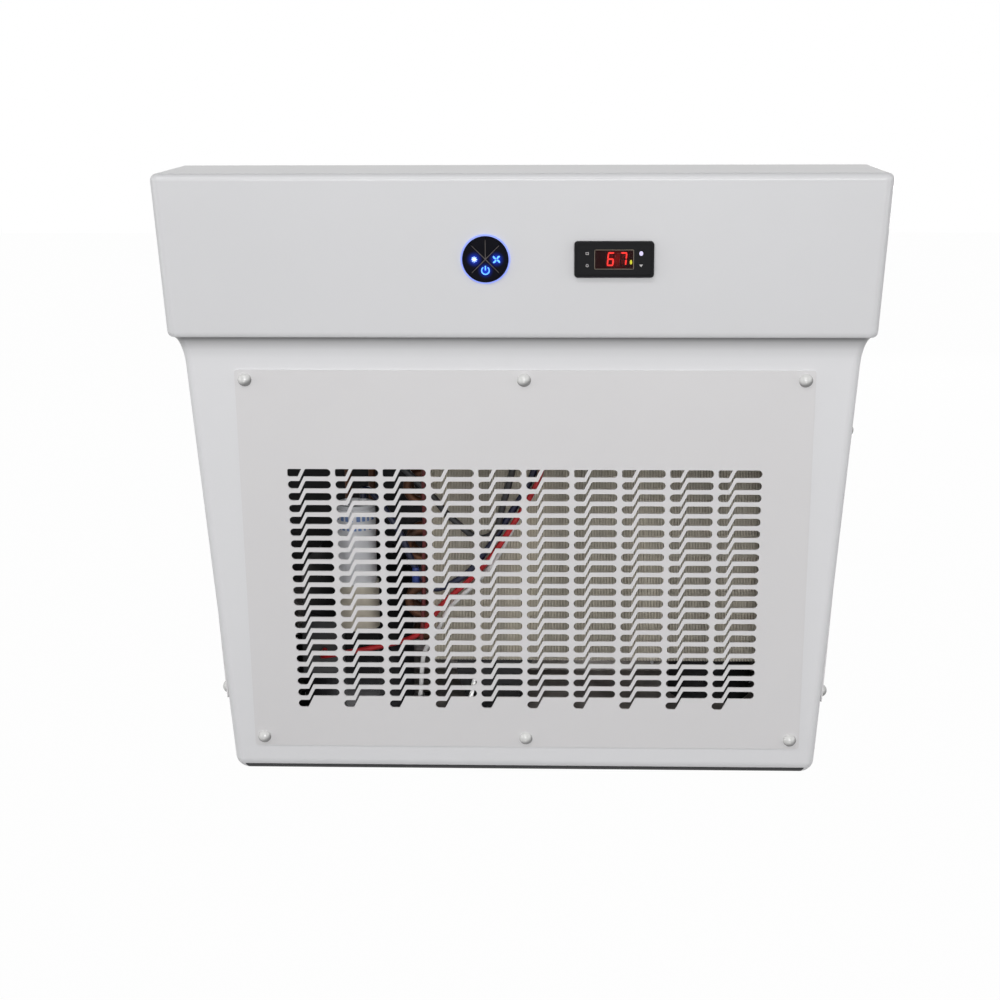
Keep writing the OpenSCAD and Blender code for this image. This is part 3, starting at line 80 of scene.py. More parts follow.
# Heights over which the painted near-black on the rear panel's inner side turns greyer towards the bottom
GREY_LOW_Z = (0.10, 0.13)
TOP_R = 0.007
BROW_R = 0.006
SKIRT_R = 0.016
CORNER_R = 0.009
SKIRT_GAP = 0.004
MIN_R = 0.0012
EPS = 0.001
FIT = 0.00005
BROW_Z = CABINET_H - HEADER_H
BODY_MID_Z = BROW_Z - COVE_H
BROW_Y = FRONT_Y + HEADER_H * math.tan(HEADER_LEAN)
FACE_Y = BROW_Y + HEADER_PROUD
FLOOR_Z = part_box("base_tray")[0].z + 0.002
CONTROL_Z = 0.560
KEYPAD_X = -0.0335
KEYPAD_D = 0.045
KEYPAD_H = 0.003
NECK_R = 0.018
THERMO_X = 0.091
CUTOUT_W = 0.071
CUTOUT_H = 0.029
THERMO_T = 0.005
WINDOW_W = 0.038
WINDOW_H = 0.019
BUTTON_X = 0.026
BUTTON_Z = 0.0059
PLATE_W = 0.578
PLATE_H = 0.4135
PLATE_DROP = 0.034
PLATE_SHIFT = 0.003
SIDE_W = 0.292
SIDE_H = 0.302
SIDE_Z = 0.238
WINDOW_MARGIN = 0.026
WINDOW_TOP = 0.090
PIN_INSET = 0.010
PLATE_MID = (PLATE_SHIFT, -PLATE_DROP - PLATE_H / 2)
PLATE_PINS = [(PLATE_MID[0] + x * (PLATE_W / 2 - PIN_INSET), PLATE_MID[1] + y * (PLATE_H / 2 - PIN_INSET))
              for x in (-1, 0, 1) for y in (-1, 1)]
SIDE_PINS = [(x * (SIDE_W / 2 - PIN_INSET), y * (SIDE_H / 2 - PIN_INSET)) for x in (-1, 1) for y in (-1, 1)]
BOSS_R = 0.006
BOSS_D = 0.008
HOLE_R = 0.00215
SCREW_L = 0.010
TRAY_PINS = [(x * 0.280, y) for x in (-1, 1) for y in (-0.116, 0.148)]
BOSS_TOP_Z = 0.060
TRAY_HOLE_R = 0.00265
LUG_X = 0.292
LUG_Y = 0.020
LUG_Z = 0.016
BACK_X = 0.300
BACK_ROWS = (0.060, 0.300, 0.560)


# Shape functions of the moulding
def mix(a, b, k):
    return a + (b - a) * k


def header_hw(z):
    return HEADER_W / 2 - (CABINET_H - z) * HEADER_DRAFT


def header_y(z):
    return FRONT_Y + (CABINET_H - z) * math.tan(HEADER_LEAN)


def body_hw(z):
    return BODY_W / 2 - (BROW_Z - z) * BODY_DRAFT


def body_y(z):
    return FACE_Y + (BROW_Z - z) * math.tan(FACE_LEAN)


def on_header(x):
    place = Matrix.Translation((x, header_y(CONTROL_Z) - FIT, CONTROL_Z))
    return place @ Matrix.Rotation(math.pi / 2 + HEADER_LEAN, 4, "X")


def on_face():
    return Matrix.Translation((0, FACE_Y - FIT, BROW_Z)) @ Matrix.Rotation(math.pi / 2 + FACE_LEAN, 4, "X")


def on_side(side):
    outward = Matrix(((0, 0, 1, 0), (1, 0, 0, 0), (0, 1, 0, 0), (0, 0, 0, 1)))
    turn = Matrix.Rotation(math.atan(BODY_DRAFT), 4, "Y") @ outward
    flip = Matrix.Scale(side, 4, (1, 0, 0))
    return flip @ Matrix.Translation((body_hw(SIDE_Z) + FIT, 0, SIDE_Z)) @ turn


# Materials, kept by name: a piece wears the one that is named as its slot, unless it is dressed anew
MAT = {}
ROUGH_SPREAD = 0.05


def node_of(tree, kind, **values):
    node = tree.nodes.new(kind)
    for key, value in values.items():
        if key in node.inputs:
            node.inputs[key].default_value = value
        else:
            setattr(node, key, value)
    return node


def surface(name, color, roughness=0.4, metallic=0.0, coat=0.0, mottle=0.03, mottle_scale=9.0,
            grain=0.05, grain_scale=700.0, stretch=(1, 1, 1), wave=0.0, wave_scale=6.0,
            tint=None, specular=0.5):
    """A finish with soft colour mottling, a fine grain in its relief and a long wave over large faces."""
    material = bpy.data.materials.new(name)
    material.use_nodes = True
    tree = material.node_tree
    link = tree.links.new
    shader = tree.nodes["Principled BSDF"]
    shader.inputs["Metallic"].default_value = metallic
    shader.inputs["Coat Weight"].default_value = coat
    shader.inputs["Coat Roughness"].default_value = 0.06
    shader.inputs["Specular IOR Level"].default_value = specular
    coords = node_of(tree, "ShaderNodeTexCoord")
    mapping = node_of(tree, "ShaderNodeMapping")
    mapping.inputs["Scale"].default_value = stretch
    link(coords.outputs["Object"], mapping.inputs["Vector"])
    clouds = node_of(tree, "ShaderNodeTexNoise", Scale=mottle_scale, Detail=4.0, Roughness=0.55)
    link(mapping.outputs["Vector"], clouds.inputs["Vector"])
    ramp = node_of(tree, "ShaderNodeValToRGB")
    ramp.color_ramp.elements[0].position = 0.3
    ramp.color_ramp.elements[1].position = 0.7
    other = tint or color
    ramp.color_ramp.elements[0].color = [c * (1 - mottle) for c in other] + [1]
    ramp.color_ramp.elements[1].color = [min(1.0, c * (1 + mottle)) for c in color] + [1]
    link(clouds.outputs["Fac"], ramp.inputs["Fac"])
    link(ramp.outputs["Color"], shader.inputs["Base Color"])
    speck = node_of(tree, "ShaderNodeTexNoise", Scale=grain_scale, Detail=2.0)
    link(mapping.outputs["Vector"], speck.inputs["Vector"])
    spread = node_of(tree, "ShaderNodeMapRange")
    spread.inputs["To Min"].default_value = max(0.02, roughness - ROUGH_SPREAD)
    spread.inputs["To Max"].default_value = min(1.0, roughness + ROUGH_SPREAD)
    link(clouds.outputs["Fac"], spread.inputs["Value"])
    link(spread.outputs["Result"], shader.inputs["Roughness"])
    bump = node_of(tree, "ShaderNodeBump", Strength=grain, Distance=0.0004)
    link(speck.outputs["Fac"], bump.inputs["Height"])
    if wave:
        swell = node_of(tree, "ShaderNodeTexNoise", Scale=wave_scale, Detail=1.0)
        link(coords.outputs["Object"], swell.inputs["Vector"])
        long_bump = node_of(tree, "ShaderNodeBump", Strength=wave, Distance=0.004)
        link(swell.outputs["Fac"], long_bump.inputs["Height"])
        link(long_bump.outputs["Normal"], bump.inputs["Normal"])
    link(bump.outputs["Normal"], shader.inputs["Normal"])
    MAT[name] = material
    return material


def base_color(material):
    """A material's tree, its link call, its base colour socket and what feeds that now."""
    tree = material.node_tree
    socket = tree.nodes["Principled BSDF"].inputs["Base Color"]
    return tree, tree.links.new, socket, socket.links[0].from_socket


def paint_cove_shade(material, share):
    """Painted shade in the hollow cove, darkest right under the brow and gone at its foot, and a painted
    darker tone on the header.
    """
    tree, link, result, plain = base_color(material)
    place = node_of(tree, "ShaderNodeTexCoord")
    split = node_of(tree, "ShaderNodeSeparateXYZ")
    height = node_of(tree, "ShaderNodeMapRange")
    height.inputs["From Min"].default_value = BROW_Z - SHADE_H
    height.inputs["From Max"].default_value = BROW_Z + SHADE_H * 0.1
    ramp = node_of(tree, "ShaderNodeValToRGB")
    ramp.color_ramp.elements[0].color = (1, 1, 1, 1)
    ramp.color_ramp.elements[1].color = (HEADER_PAINTED_SHADE, HEADER_PAINTED_SHADE, HEADER_PAINTED_SHADE, 1)
    # Painted shade stops: lighter down the cove, darkest just under the brow, and a darker tone painted on
    # the header above
    stops = ((0.35, 0.90), (0.72, (1 + share) / 2.2), (0.86, share), (0.905, share), (0.925, HEADER_PAINTED_SHADE))
    for position, value in stops:
        stop = ramp.color_ramp.elements.new(position)
        stop.color = (value, value, value, 1)
    blend = node_of(tree, "ShaderNodeMix", data_type="RGBA", blend_type="MULTIPLY", Factor=1.0)
    link(place.outputs["Object"], split.inputs["Vector"])
    link(split.outputs["Z"], height.inputs["Value"])
    link(height.outputs["Result"], ramp.inputs["Fac"])
    link(plain, blend.inputs[6])
    link(ramp.outputs["Color"], blend.inputs[7])
    link(blend.outputs[2], result)


def paint_shade_turned_away(material, light_way, share):
    """Painted shade: a darker base colour on the faces turned away from a given light direction, as small
    glossy domes show it.
    """
    tree, link, result, plain = base_color(material)
    place = node_of(tree, "ShaderNodeNewGeometry")
    turn = node_of(tree, "ShaderNodeVectorMath", operation="DOT_PRODUCT")
    turn.inputs[1].default_value = light_way
    level = node_of(tree, "ShaderNodeMapRange", interpolation_type="SMOOTHSTEP")
    level.inputs["From Min"].default_value = -0.15
    level.inputs["From Max"].default_value = 0.62
    level.inputs["To Min"].default_value = share
    blend = node_of(tree, "ShaderNodeVectorMath", operation="SCALE")
    link(place.outputs["Normal"], turn.inputs[0])
    link(turn.outputs["Value"], level.inputs["Value"])
    link(plain, blend.inputs[0])
    link(level.outputs["Result"], blend.inputs["Scale"])
    link(blend.outputs["Vector"], result)


def paint_panel_inside_shade(node):
    """Painted shade on the front side of a panel: near-black, and greyer towards the bottom."""
    obj = NODES[node]
    material = obj.data.materials[0].copy()
    material.name = node + "_inside_shade"
    obj.data.materials[0] = material
    tree, link, result, plain = base_color(material)
    place = node_of(tree, "ShaderNodeNewGeometry")
    facing = node_of(tree, "ShaderNodeSeparateXYZ")
    link(place.outputs["Normal"], facing.inputs["Vector"])
    outside = node_of(tree, "ShaderNodeMath", operation="GREATER_THAN")
    outside.inputs[1].default_value = -0.5
    link(facing.outputs["Y"], outside.inputs[0])
    spot = node_of(tree, "ShaderNodeSeparateXYZ")
    link(place.outputs["Position"], spot.inputs["Vector"])
    rise = node_of(tree, "ShaderNodeMapRange")
    rise.inputs["From Min"].default_value, rise.inputs["From Max"].default_value = GREY_LOW_Z
    link(spot.outputs["Z"], rise.inputs["Value"])
    inside_tone = node_of(tree, "ShaderNodeMix", data_type="RGBA")
    inside_tone.inputs[6].default_value = (0.34, 0.31, 0.30, 1)
    inside_tone.inputs[7].default_value = (0.010, 0.010, 0.012, 1)
    link(rise.outputs["Result"], inside_tone.inputs["Factor"])
    blend = node_of(tree, "ShaderNodeMix", data_type="RGBA")
    link(outside.outputs["Value"], blend.inputs["Factor"])
    link(inside_tone.outputs[2], blend.inputs[6])
    link(plain, blend.inputs[7])
    link(blend.outputs[2], result)


def lit(name, glow, strength, base=(0.02, 0.02, 0.02)):
    """A lit surface: plastic with light behind it, a little uneven over its area."""
    material = surface(name, base, 0.35, mottle=0.02)
    tree = material.node_tree
    link = tree.links.new
    shader = tree.nodes["Principled BSDF"]
    cloud = node_of(tree, "ShaderNodeTexNoise", Scale=260.0, Detail=1.0)
    ramp = node_of(tree, "ShaderNodeValToRGB")
    ramp.color_ramp.elements[0].color = [c * 0.85 for c in glow] + [1]
    ramp.color_ramp.elements[1].color = list(glow) + [1]
    coords = node_of(tree, "ShaderNodeTexCoord")
    link(coords.outputs["Object"], cloud.inputs["Vector"])
    link(cloud.outputs["Fac"], ramp.inputs["Fac"])
    link(ramp.outputs["Color"], shader.inputs["Emission Color"])
    shader.inputs["Emission Strength"].default_value = strength
    return material


surface("shell_white", (0.74, 0.74, 0.755), 0.34, coat=0.2, specular=0.35, mottle=0.012, mottle_scale=4.0,
        grain=0.012, grain_scale=420.0, wave=0.05, wave_scale=7.0)
# Inside of the moulding: dark raw resin, made near-black as painted shade of the cabinet's dark inside
surface("shell_inside", (0.010, 0.010, 0.012), 0.7, mottle=0.2, mottle_scale=12.0, grain=0.3)
surface("plate_white", (0.685, 0.675, 0.682), 0.42, mottle=0.012, mottle_scale=5.0, grain=0.10,
        grain_scale=1500.0)
surface("cap_white", (0.66, 0.66, 0.65), 0.16, coat=0.5, mottle=0.03, mottle_scale=60.0)
surface("steel_white", (0.70, 0.70, 0.69), 0.45, mottle=0.02, mottle_scale=5.0, grain=0.12,
        grain_scale=1400.0)
surface("pad_black", (0.003, 0.003, 0.006), 0.3, specular=0.05, mottle=0.1, mottle_scale=80.0, grain=0.01)
surface("bezel_black", (0.005, 0.005, 0.006), 0.5, specular=0.12, mottle=0.1, mottle_scale=50.0,
        grain=0.35, grain_scale=2200.0)
surface("black_plastic", (0.03, 0.03, 0.032), 0.5, mottle=0.15, mottle_scale=40.0, grain=0.2)
surface("zinc", (0.62, 0.62, 0.64), 0.3, metallic=1.0, mottle=0.08, mottle_scale=120.0, grain=0.1)
surface("galvanised", (0.46, 0.47, 0.48), 0.42, metallic=0.9, mottle=0.16, mottle_scale=70.0)
surface("tray_grey", (0.30, 0.275, 0.26), 0.55, mottle=0.25, mottle_scale=14.0, grain=0.3,
        grain_scale=500.0, tint=(0.10, 0.088, 0.078))
surface("rubber_black", (0.022, 0.022, 0.022), 0.75, mottle=0.2, mottle_scale=60.0, grain=0.4)
surface("fins_alu", (0.90, 0.845, 0.72), 0.5, metallic=0.0, mottle=0.08, mottle_scale=26.0,
        stretch=(1.0, 1.0, 0.05), grain=0.2, tint=(0.62, 0.58, 0.50))
surface("copper", (0.13, 0.05, 0.022), 0.5, metallic=0.5, mottle=0.3, mottle_scale=40.0,
        tint=(0.06, 0.028, 0.016))
surface("black_steel", (0.006, 0.006, 0.007), 0.5, mottle=0.3, mottle_scale=20.0, specular=0.15)
surface("can_white", (0.76, 0.77, 0.80), 0.4, mottle=0.04, mottle_scale=50.0)
surface("boot_beige", (0.56, 0.52, 0.43), 0.55, mottle=0.08, mottle_scale=40.0)
surface("white_plastic", (0.66, 0.66, 0.64), 0.45, mottle=0.04, mottle_scale=20.0)
surface("lead_red", (0.50, 0.012, 0.018), 0.38, mottle=0.1, mottle_scale=90.0)
surface("lead_dark_red", (0.12, 0.012, 0.012), 0.42, mottle=0.1, mottle_scale=90.0)
surface("lead_white", (0.78, 0.78, 0.78), 0.4, mottle=0.04, mottle_scale=90.0)
surface("lead_blue", (0.010, 0.014, 0.045), 0.38, mottle=0.1, mottle_scale=90.0)
surface("print_blue", (0.16, 0.26, 0.52), 0.45, mottle=0.25, mottle_scale=300.0)
surface("foam_black", (0.012, 0.012, 0.013), 0.85, mottle=0.3, mottle_scale=60.0, grain=0.5,
        grain_scale=400.0, specular=0.1)
surface("sleeve_blue", (0.015, 0.04, 0.22), 0.4, mottle=0.1, mottle_scale=90.0)
surface("clip_orange", (0.42, 0.16, 0.03), 0.45, mottle=0.1, mottle_scale=60.0)
surface("divider_grey", (0.11, 0.095, 0.09), 0.5, mottle=0.05)
surface("mark_grey", (0.50, 0.48, 0.48), 0.5, mottle=0.05)
surface("outline_beige", (0.20, 0.17, 0.13), 0.5, mottle=0.05)


def dress(node, material):
    """Gives a frame node one material."""
    NODES[node].data.materials.clear()
    NODES[node].data.materials.append(material)


# Mesh helpers
def add_mesh(name, verts, faces, material, body, slot, world=None, smooth=30):
    mesh = bpy.data.meshes.new(name)
    mesh.from_pydata([tuple(v) for v in verts], [], faces)
    mesh.validate()
    if world is not None:
        mesh.transform(world)
    obj = bpy.data.objects.new(name, mesh)
    SCENE.collection.objects.link(obj)
    tidy_normals(mesh, smooth)
    mesh.materials.append(material)
    if body:
        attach(obj, body)
    return obj


def tidy_normals(mesh, smooth):
    edit = bmesh.new()
    edit.from_mesh(mesh)
    bmesh.ops.recalc_face_normals(edit, faces=edit.faces)
    limit = math.radians(smooth)
    for face in edit.faces:
        face.smooth = smooth > 0
    for edge in edit.edges:
        edge.smooth = len(edge.link_faces) == 2 and edge.calc_face_angle(0) < limit
    edit.to_mesh(mesh)
    edit.free()


def weighted(obj):
    modifier = obj.modifiers.new("weighted", "WEIGHTED_NORMAL")
    modifier.keep_sharp = True


def soften(node, width):
    """Small rounded edges on a frame node, by modifiers only."""
    obj = NODES[node]
    weld = obj.modifiers.new("weld", "WELD")
    weld.merge_threshold = 1e-6
    bevel = obj.modifiers.new("bevel", "BEVEL")
    bevel.width = width
    bevel.segments = 2
    bevel.limit_method = "ANGLE"
    bevel.angle_limit = math.radians(40)
    bevel.use_clamp_overlap = True
    weighted(obj)


def loft(rings):
    n = len(rings[0])
    verts = [p for ring in rings for p in ring]
    faces = [[k * n + i, k * n + (i + 1) % n, (k + 1) * n + (i + 1) % n, (k + 1) * n + i]
             for k in range(len(rings) - 1) for i in range(n)]
    faces.append(list(range(n))[::-1])
    faces.append([(len(rings) - 1) * n + i for i in range(n)])
    return verts, faces


def oval(mid, wide, tall, steps):
    turn = [2 * math.pi * i / steps for i in range(steps)]
    return [(mid[0] + wide * math.cos(a), mid[1] + tall * math.sin(a)) for a in turn]


def revolve(profile, steps):
    """A closed solid turned about Z from (radius, height) points that start and end on the axis."""
    verts, faces = [], []
    rows = []
    for r, z in profile:
        if r < 1e-7:
            rows.append([len(verts)] * steps)
            verts.append((0, 0, z))
        else:
            rows.append([len(verts) + i for i in range(steps)])
            verts += [(x, y, z) for x, y in oval((0, 0), r, r, steps)]
    for low, high in zip(rows, rows[1:]):
        for i in range(steps):
            k = (i + 1) % steps
            loop = [low[i], low[k], high[k], high[i]]
            loop = [v for n, v in enumerate(loop) if v != loop[n - 1]]
            if len(loop) > 2:
                faces.append(loop)
    return verts, faces


def ring_of(mid, r0, r1, z0, z1, steps):
    """A closed ring of rectangular section along Z."""
    profile = [(r0, z0), (r1, z0), (r1, z1), (r0, z1)]
    verts = [(x, y, z) for r, z in profile for x, y in oval(mid, r, r, steps)]
    faces = [[k * steps + i, k * steps + (i + 1) % steps, (k + 1) % 4 * steps + (i + 1) % steps,
              (k + 1) % 4 * steps + i] for k in range(4) for i in range(steps)]
    return verts, faces


def prism(outline, z0, z1):
    n = len(outline)
    verts = [(x, y, z) for z in (z0, z1) for x, y in outline]
    faces = [list(range(n))[::-1], list(range(n, 2 * n))]
    faces += [[i, (i + 1) % n, n + (i + 1) % n, n + i] for i in range(n)]
    return verts, faces


def rounded(w, h, r, steps):
    points = []
    for cx, cy, start in ((w / 2 - r, h / 2 - r, 0), (r - w / 2, h / 2 - r, 90),
                          (r - w / 2, r - h / 2, 180), (w / 2 - r, r - h / 2, 270)):
        for i in range(steps + 1):
            a = math.radians(start + 90 * i / steps)
            points.append((cx + r * math.cos(a), cy + r * math.sin(a)))
    return points


def join_parts(parts):
    verts, faces = [], []
    for v, f in parts:
        base = len(verts)
        verts += [tuple(p) for p in v]
        faces += [[base + i for i in face] for face in f]
    return verts, faces


def moved(part, world):
    return [tuple(world @ Vector(p)) for p in part[0]], part[1]


def pin(x, y, r, z0, z1, steps=32):
    """A closed round bar along Z at x, y."""
    return prism(oval((x, y), r, r, steps), z0, z1)


def box_part(low, high):
    outline = [(low[0], low[1]), (high[0], low[1]), (high[0], high[1]), (low[0], high[1])]
    return prism(outline, low[2], high[2])


def smooth_path(points, per_leg):
    """Centripetal spline through the points, so that no leg overshoots."""
    pts = [Vector(p) for p in points]
    pts = [pts[0] * 2 - pts[1]] + pts + [pts[-1] * 2 - pts[-2]]
    out = []
    for a, b, c, d in zip(pts, pts[1:], pts[2:], pts[3:]):
        t1 = max(1e-6, (b - a).length) ** 0.5
        t2 = t1 + max(1e-6, (c - b).length) ** 0.5
        t3 = t2 + max(1e-6, (d - c).length) ** 0.5
        for i in range(per_leg):
            t = mix(t1, t2, i / per_leg)
            p1 = a.lerp(b, t / t1)
            p2 = b.lerp(c, (t - t1) / (t2 - t1))
            p3 = c.lerp(d, (t - t2) / (t3 - t2))
            q1 = p1.lerp(p2, t / t2)
            q2 = p2.lerp(p3, (t - t1) / (t3 - t1))
            out.append(q1.lerp(q2, (t - t1) / (t2 - t1)))
    out.append(pts[-2])
    return out


def sweep(path, radius, sides=14):
    """A closed tube along a path; radius is a number or a function of the share along it."""
    size = radius if callable(radius) else (lambda k: radius)
    verts, faces = [], []
    up = Vector((0, 0, 1))
    ahead = (path[1] - path[0]).normalized()
    across = ahead.cross(up)
    if across.length < 0.1:
        across = ahead.cross(Vector((0, 1, 0)))
    across.normalize()
    last = len(path) - 1
    for k, p in enumerate(path):
        ahead = (path[min(k + 1, last)] - path[max(k - 1, 0)]).normalized()
        across = (across - ahead * across.dot(ahead)).normalized()
        other = ahead.cross(across)
        r = size(k / last)
        for i in range(sides):
            a = 2 * math.pi * i / sides
            verts.append(p + (across * math.cos(a) + other * math.sin(a)) * r)
    for k in range(last):
        for i in range(sides):
            n = (i + 1) % sides
            faces.append([k * sides + i, k * sides + n, (k + 1) * sides + n, (k + 1) * sides + i])
    faces.append(list(range(sides))[::-1])
    faces.append([last * sides + i for i in range(sides)])
    return verts, faces


def cut(obj, verts, faces, world=None, operation="DIFFERENCE"):
    """Takes one closed solid from another, or adds it, and keeps the result as plain mesh."""
    mesh = bpy.data.meshes.new("cutter")
    mesh.from_pydata([tuple(v) for v in verts], [], faces)
    if world is not None:
        mesh.transform(world)
    tidy_normals(mesh, 0)
    cutter = bpy.data.objects.new("cutter", mesh)
    SCENE.collection.objects.link(cutter)
    modifier = obj.modifiers.new("cut", "BOOLEAN")
    modifier.operation = operation
    modifier.solver = "EXACT"
    modifier.object = cutter
    shown = obj.evaluated_get(bpy.context.evaluated_depsgraph_get())
    made = bpy.data.meshes.new_from_object(shown)
    obj.modifiers.remove(modifier)
    old = obj.data
    obj.data = made
    bpy.data.meshes.remove(old)
    bpy.data.objects.remove(cutter)
    bpy.data.meshes.remove(mesh)


# Cabinet shell
ARC_STEPS = 10
BAND_STEPS = 10
SKIN_SHARE = 0.55
FLANK_SHARE = 0.44


def ring(z, hw, y, r, back):
    turn = [math.pi / 2 * i / ARC_STEPS for i in range(ARC_STEPS + 1)]
    right = [(hw - r + r * math.cos(a), y + r - r * math.sin(a), z) for a in turn]
    left = [(-hw + r - r * math.sin(a), y + r - r * math.cos(a), z) for a in turn]
    return [(hw, back, z)] + right + left + [(-hw, back, z)]


def head_edge_ring(z, inset):
    return ring(z, header_hw(z) - inset, header_y(z) + inset, max(MIN_R, CORNER_R - inset), REAR_Y)


def step_ring(z, k):
    return ring(z, mix(body_hw(z), header_hw(z), k), mix(body_y(z), header_y(z), k), CORNER_R, REAR_Y)


def skirt_ring(a):
    z = SKIRT_GAP + SKIRT_R * (1 - math.sin(a))
    inset = SKIRT_R * (1 - math.cos(a))
    return ring(z, body_hw(z) - inset, body_y(z) + inset, max(MIN_R, CORNER_R - inset / 2), REAR_Y)


def inner_ring(z, hw, y, inset, back):
    return ring(z, hw(z) - inset, y(z) + inset, CORNER_R - WALL, back)


def outer_rings():
    band = [math.pi / 2 * i / BAND_STEPS for i in range(BAND_STEPS + 1)]
    rings = [skirt_ring(a) for a in reversed(band)]
    rings += [step_ring(BROW_Z - COVE_H * (1 - math.cos(a)), COVE_SHARE * (1 - math.sin(a)))
              for a in reversed(band[1:])]
    rings += [step_ring(BROW_Z + BROW_R * (1 - math.sin(a)), 1 - (1 - COVE_SHARE) * (1 - math.cos(a)))
              for a in reversed(band)]
    rings += [head_edge_ring(CABINET_H - TOP_R * (1 - math.cos(a)), TOP_R * (1 - math.sin(a)))
              for a in reversed(band)]
    return rings


def shell_bosses():
    """Fixing bosses and lugs inside the moulding."""
    face = on_face()
    parts = [moved(pin(x, y, BOSS_R, -WALL - BOSS_D, -WALL / 2), face) for x, y in PLATE_PINS]
    for side in (-1, 1):
        wall_place = on_side(side)
        parts += [moved(pin(x, y, BOSS_R, -WALL - BOSS_D, -WALL / 2), wall_place) for x, y in SIDE_PINS]
        for x, y in TRAY_PINS:
            if x * side > 0:
                web = box_part((BOSS_R * 0.8 + abs(x), y - WALL / 2, SKIRT_GAP + SKIRT_R),
                               (body_hw(BOSS_TOP_Z / 2) - WALL / 2, y + WALL / 2, BOSS_TOP_Z / 2 + SKIRT_R))
                parts.append(moved(web, Matrix.Scale(side, 4, (1, 0, 0))))
                parts.append(pin(x, y, BOSS_R, FLOOR_Z, BOSS_TOP_Z))
        for z in BACK_ROWS:
            wall_x = (body_hw(z) if z < BROW_Z else header_hw(z)) - WALL / 2
            lug = box_part((LUG_X, REAR_Y - LUG_Y, z - LUG_Z / 2), (wall_x, REAR_Y - EPS / 10, z + LUG_Z / 2))
            parts.append(moved(lug, Matrix.Scale(side, 4, (1, 0, 0))))
    return join_parts(parts)


def shell_holes():
    face = on_face()
    parts = [moved(pin(x, y, HOLE_R, -SCREW_L, EPS), face) for x, y in PLATE_PINS]
    for side in (-1, 1):
        wall_place = on_side(side)
        parts += [moved(pin(x, y, HOLE_R, -SCREW_L, EPS), wall_place) for x, y in SIDE_PINS]
        parts += [moved(pin(side * BACK_X, z, HOLE_R, -EPS, SCREW_L),
                        Matrix.Translation((0, REAR_Y, 0)) @ Matrix.Rotation(math.pi / 2, 4, "X"))
                  for z in BACK_ROWS]
    parts += [pin(x, y, TRAY_HOLE_R, FLOOR_Z - EPS, FLOOR_Z + 2 * LUG_Z) for x, y in TRAY_PINS]
    return join_parts(parts)


def is_inside(p, normal):
    """Whether a face lies on the raw inner side of the moulding: off the skin and turned to its middle."""
    skin = WALL * SKIN_SHARE
    if abs(p.x) > BODY_W * FLANK_SHARE and p.x * normal.x > 0 or normal.y > 0.9 and p.y > REAR_Y - EPS:
        return False
    half, front = (body_hw(p.z), body_y(p.z)) if p.z < BROW_Z + WALL else (header_hw(p.z), header_y(p.z))
    roof = CABINET_H if p.y < LEDGE_Y - skin else DECK_Z
    return abs(p.x) < half - skin and p.y > front + skin and p.z < roof - skin and p.z > SKIRT_GAP + EPS


def make_shell():
    shell = add_mesh("cabinet_moulding", *loft(outer_rings()), MAT["shell_white"], None, None)
    wide, deep = HEADER_W, REAR_Y - LEDGE_Y
    cut(shell, *box_part((-wide, LEDGE_Y, DECK_Z), (wide, LEDGE_Y + 2 * deep, CABINET_H + EPS)))
    back = REAR_Y + EPS
    low = SKIRT_GAP - EPS
    cut(shell, *loft([inner_ring(low, body_hw, body_y, SKIRT_R * 1.32, back),
                      inner_ring(SKIRT_GAP + SKIRT_R + EPS, body_hw, body_y, WALL, back),
                      inner_ring(BODY_MID_Z, body_hw, body_y, WALL, back),
                      inner_ring(BROW_Z + WALL + EPS, body_hw, body_y, WALL, back)]))
    cut(shell, *loft([inner_ring(BROW_Z + WALL, header_hw, header_y, WALL, back),
                      inner_ring(DECK_Z - WALL, header_hw, header_y, WALL, back)]))
    pocket = LEDGE_Y - WALL
    cut(shell, *loft([inner_ring(DECK_Z - 2 * WALL, header_hw, header_y, WALL * 1.25, pocket),
                      inner_ring(CABINET_H - WALL, header_hw, header_y, WALL * 1.25, pocket)]))
    low_y = -PLATE_DROP - PLATE_H + WINDOW_MARGIN
    half = PLATE_W / 2 - WINDOW_MARGIN
    cut(shell, *box_part((PLATE_SHIFT - half, low_y, -2 * WALL),
                         (PLATE_SHIFT + half, -PLATE_DROP - WINDOW_TOP, WALL)), on_face())
    side_half = (SIDE_W / 2 - WINDOW_MARGIN, SIDE_H / 2 - WINDOW_MARGIN)
    for side in (-1, 1):
        cut(shell, *box_part((-side_half[0], -side_half[1], -2 * WALL), (side_half[0], side_half[1], WALL)),
            on_side(side))
    neck = NECK_R + FIT
    plug = revolve([(0, -2 * WALL), (neck, -2 * WALL), (neck, WALL), (0, WALL)], 64)
    cut(shell, *plug, on_header(KEYPAD_X))
    plug = box_part((-CUTOUT_W / 2, -CUTOUT_H / 2, -2 * WALL), (CUTOUT_W / 2, CUTOUT_H / 2, WALL))
    cut(shell, *plug, on_header(THERMO_X))
    cut(shell, *shell_bosses(), operation="UNION")
    cut(shell, *shell_holes())
    edges = bmesh.new()
    edges.from_mesh(shell.data)
    bmesh.ops.remove_doubles(edges, verts=edges.verts, dist=1e-6)
    edges.to_mesh(shell.data)
    edges.free()
    tidy_normals(shell.data, 32)
    # The inner faces wear the near-black material, partly dark raw resin and partly painted shade of the
    # cabinet's inside
    shell.data.materials.append(MAT["shell_inside"])
    for face in shell.data.polygons:
        face.material_index = 1 if is_inside(face.center, face.normal) else 0
    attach(shell, "cabinet")
    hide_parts("cabinet_shell")
    weighted(shell)


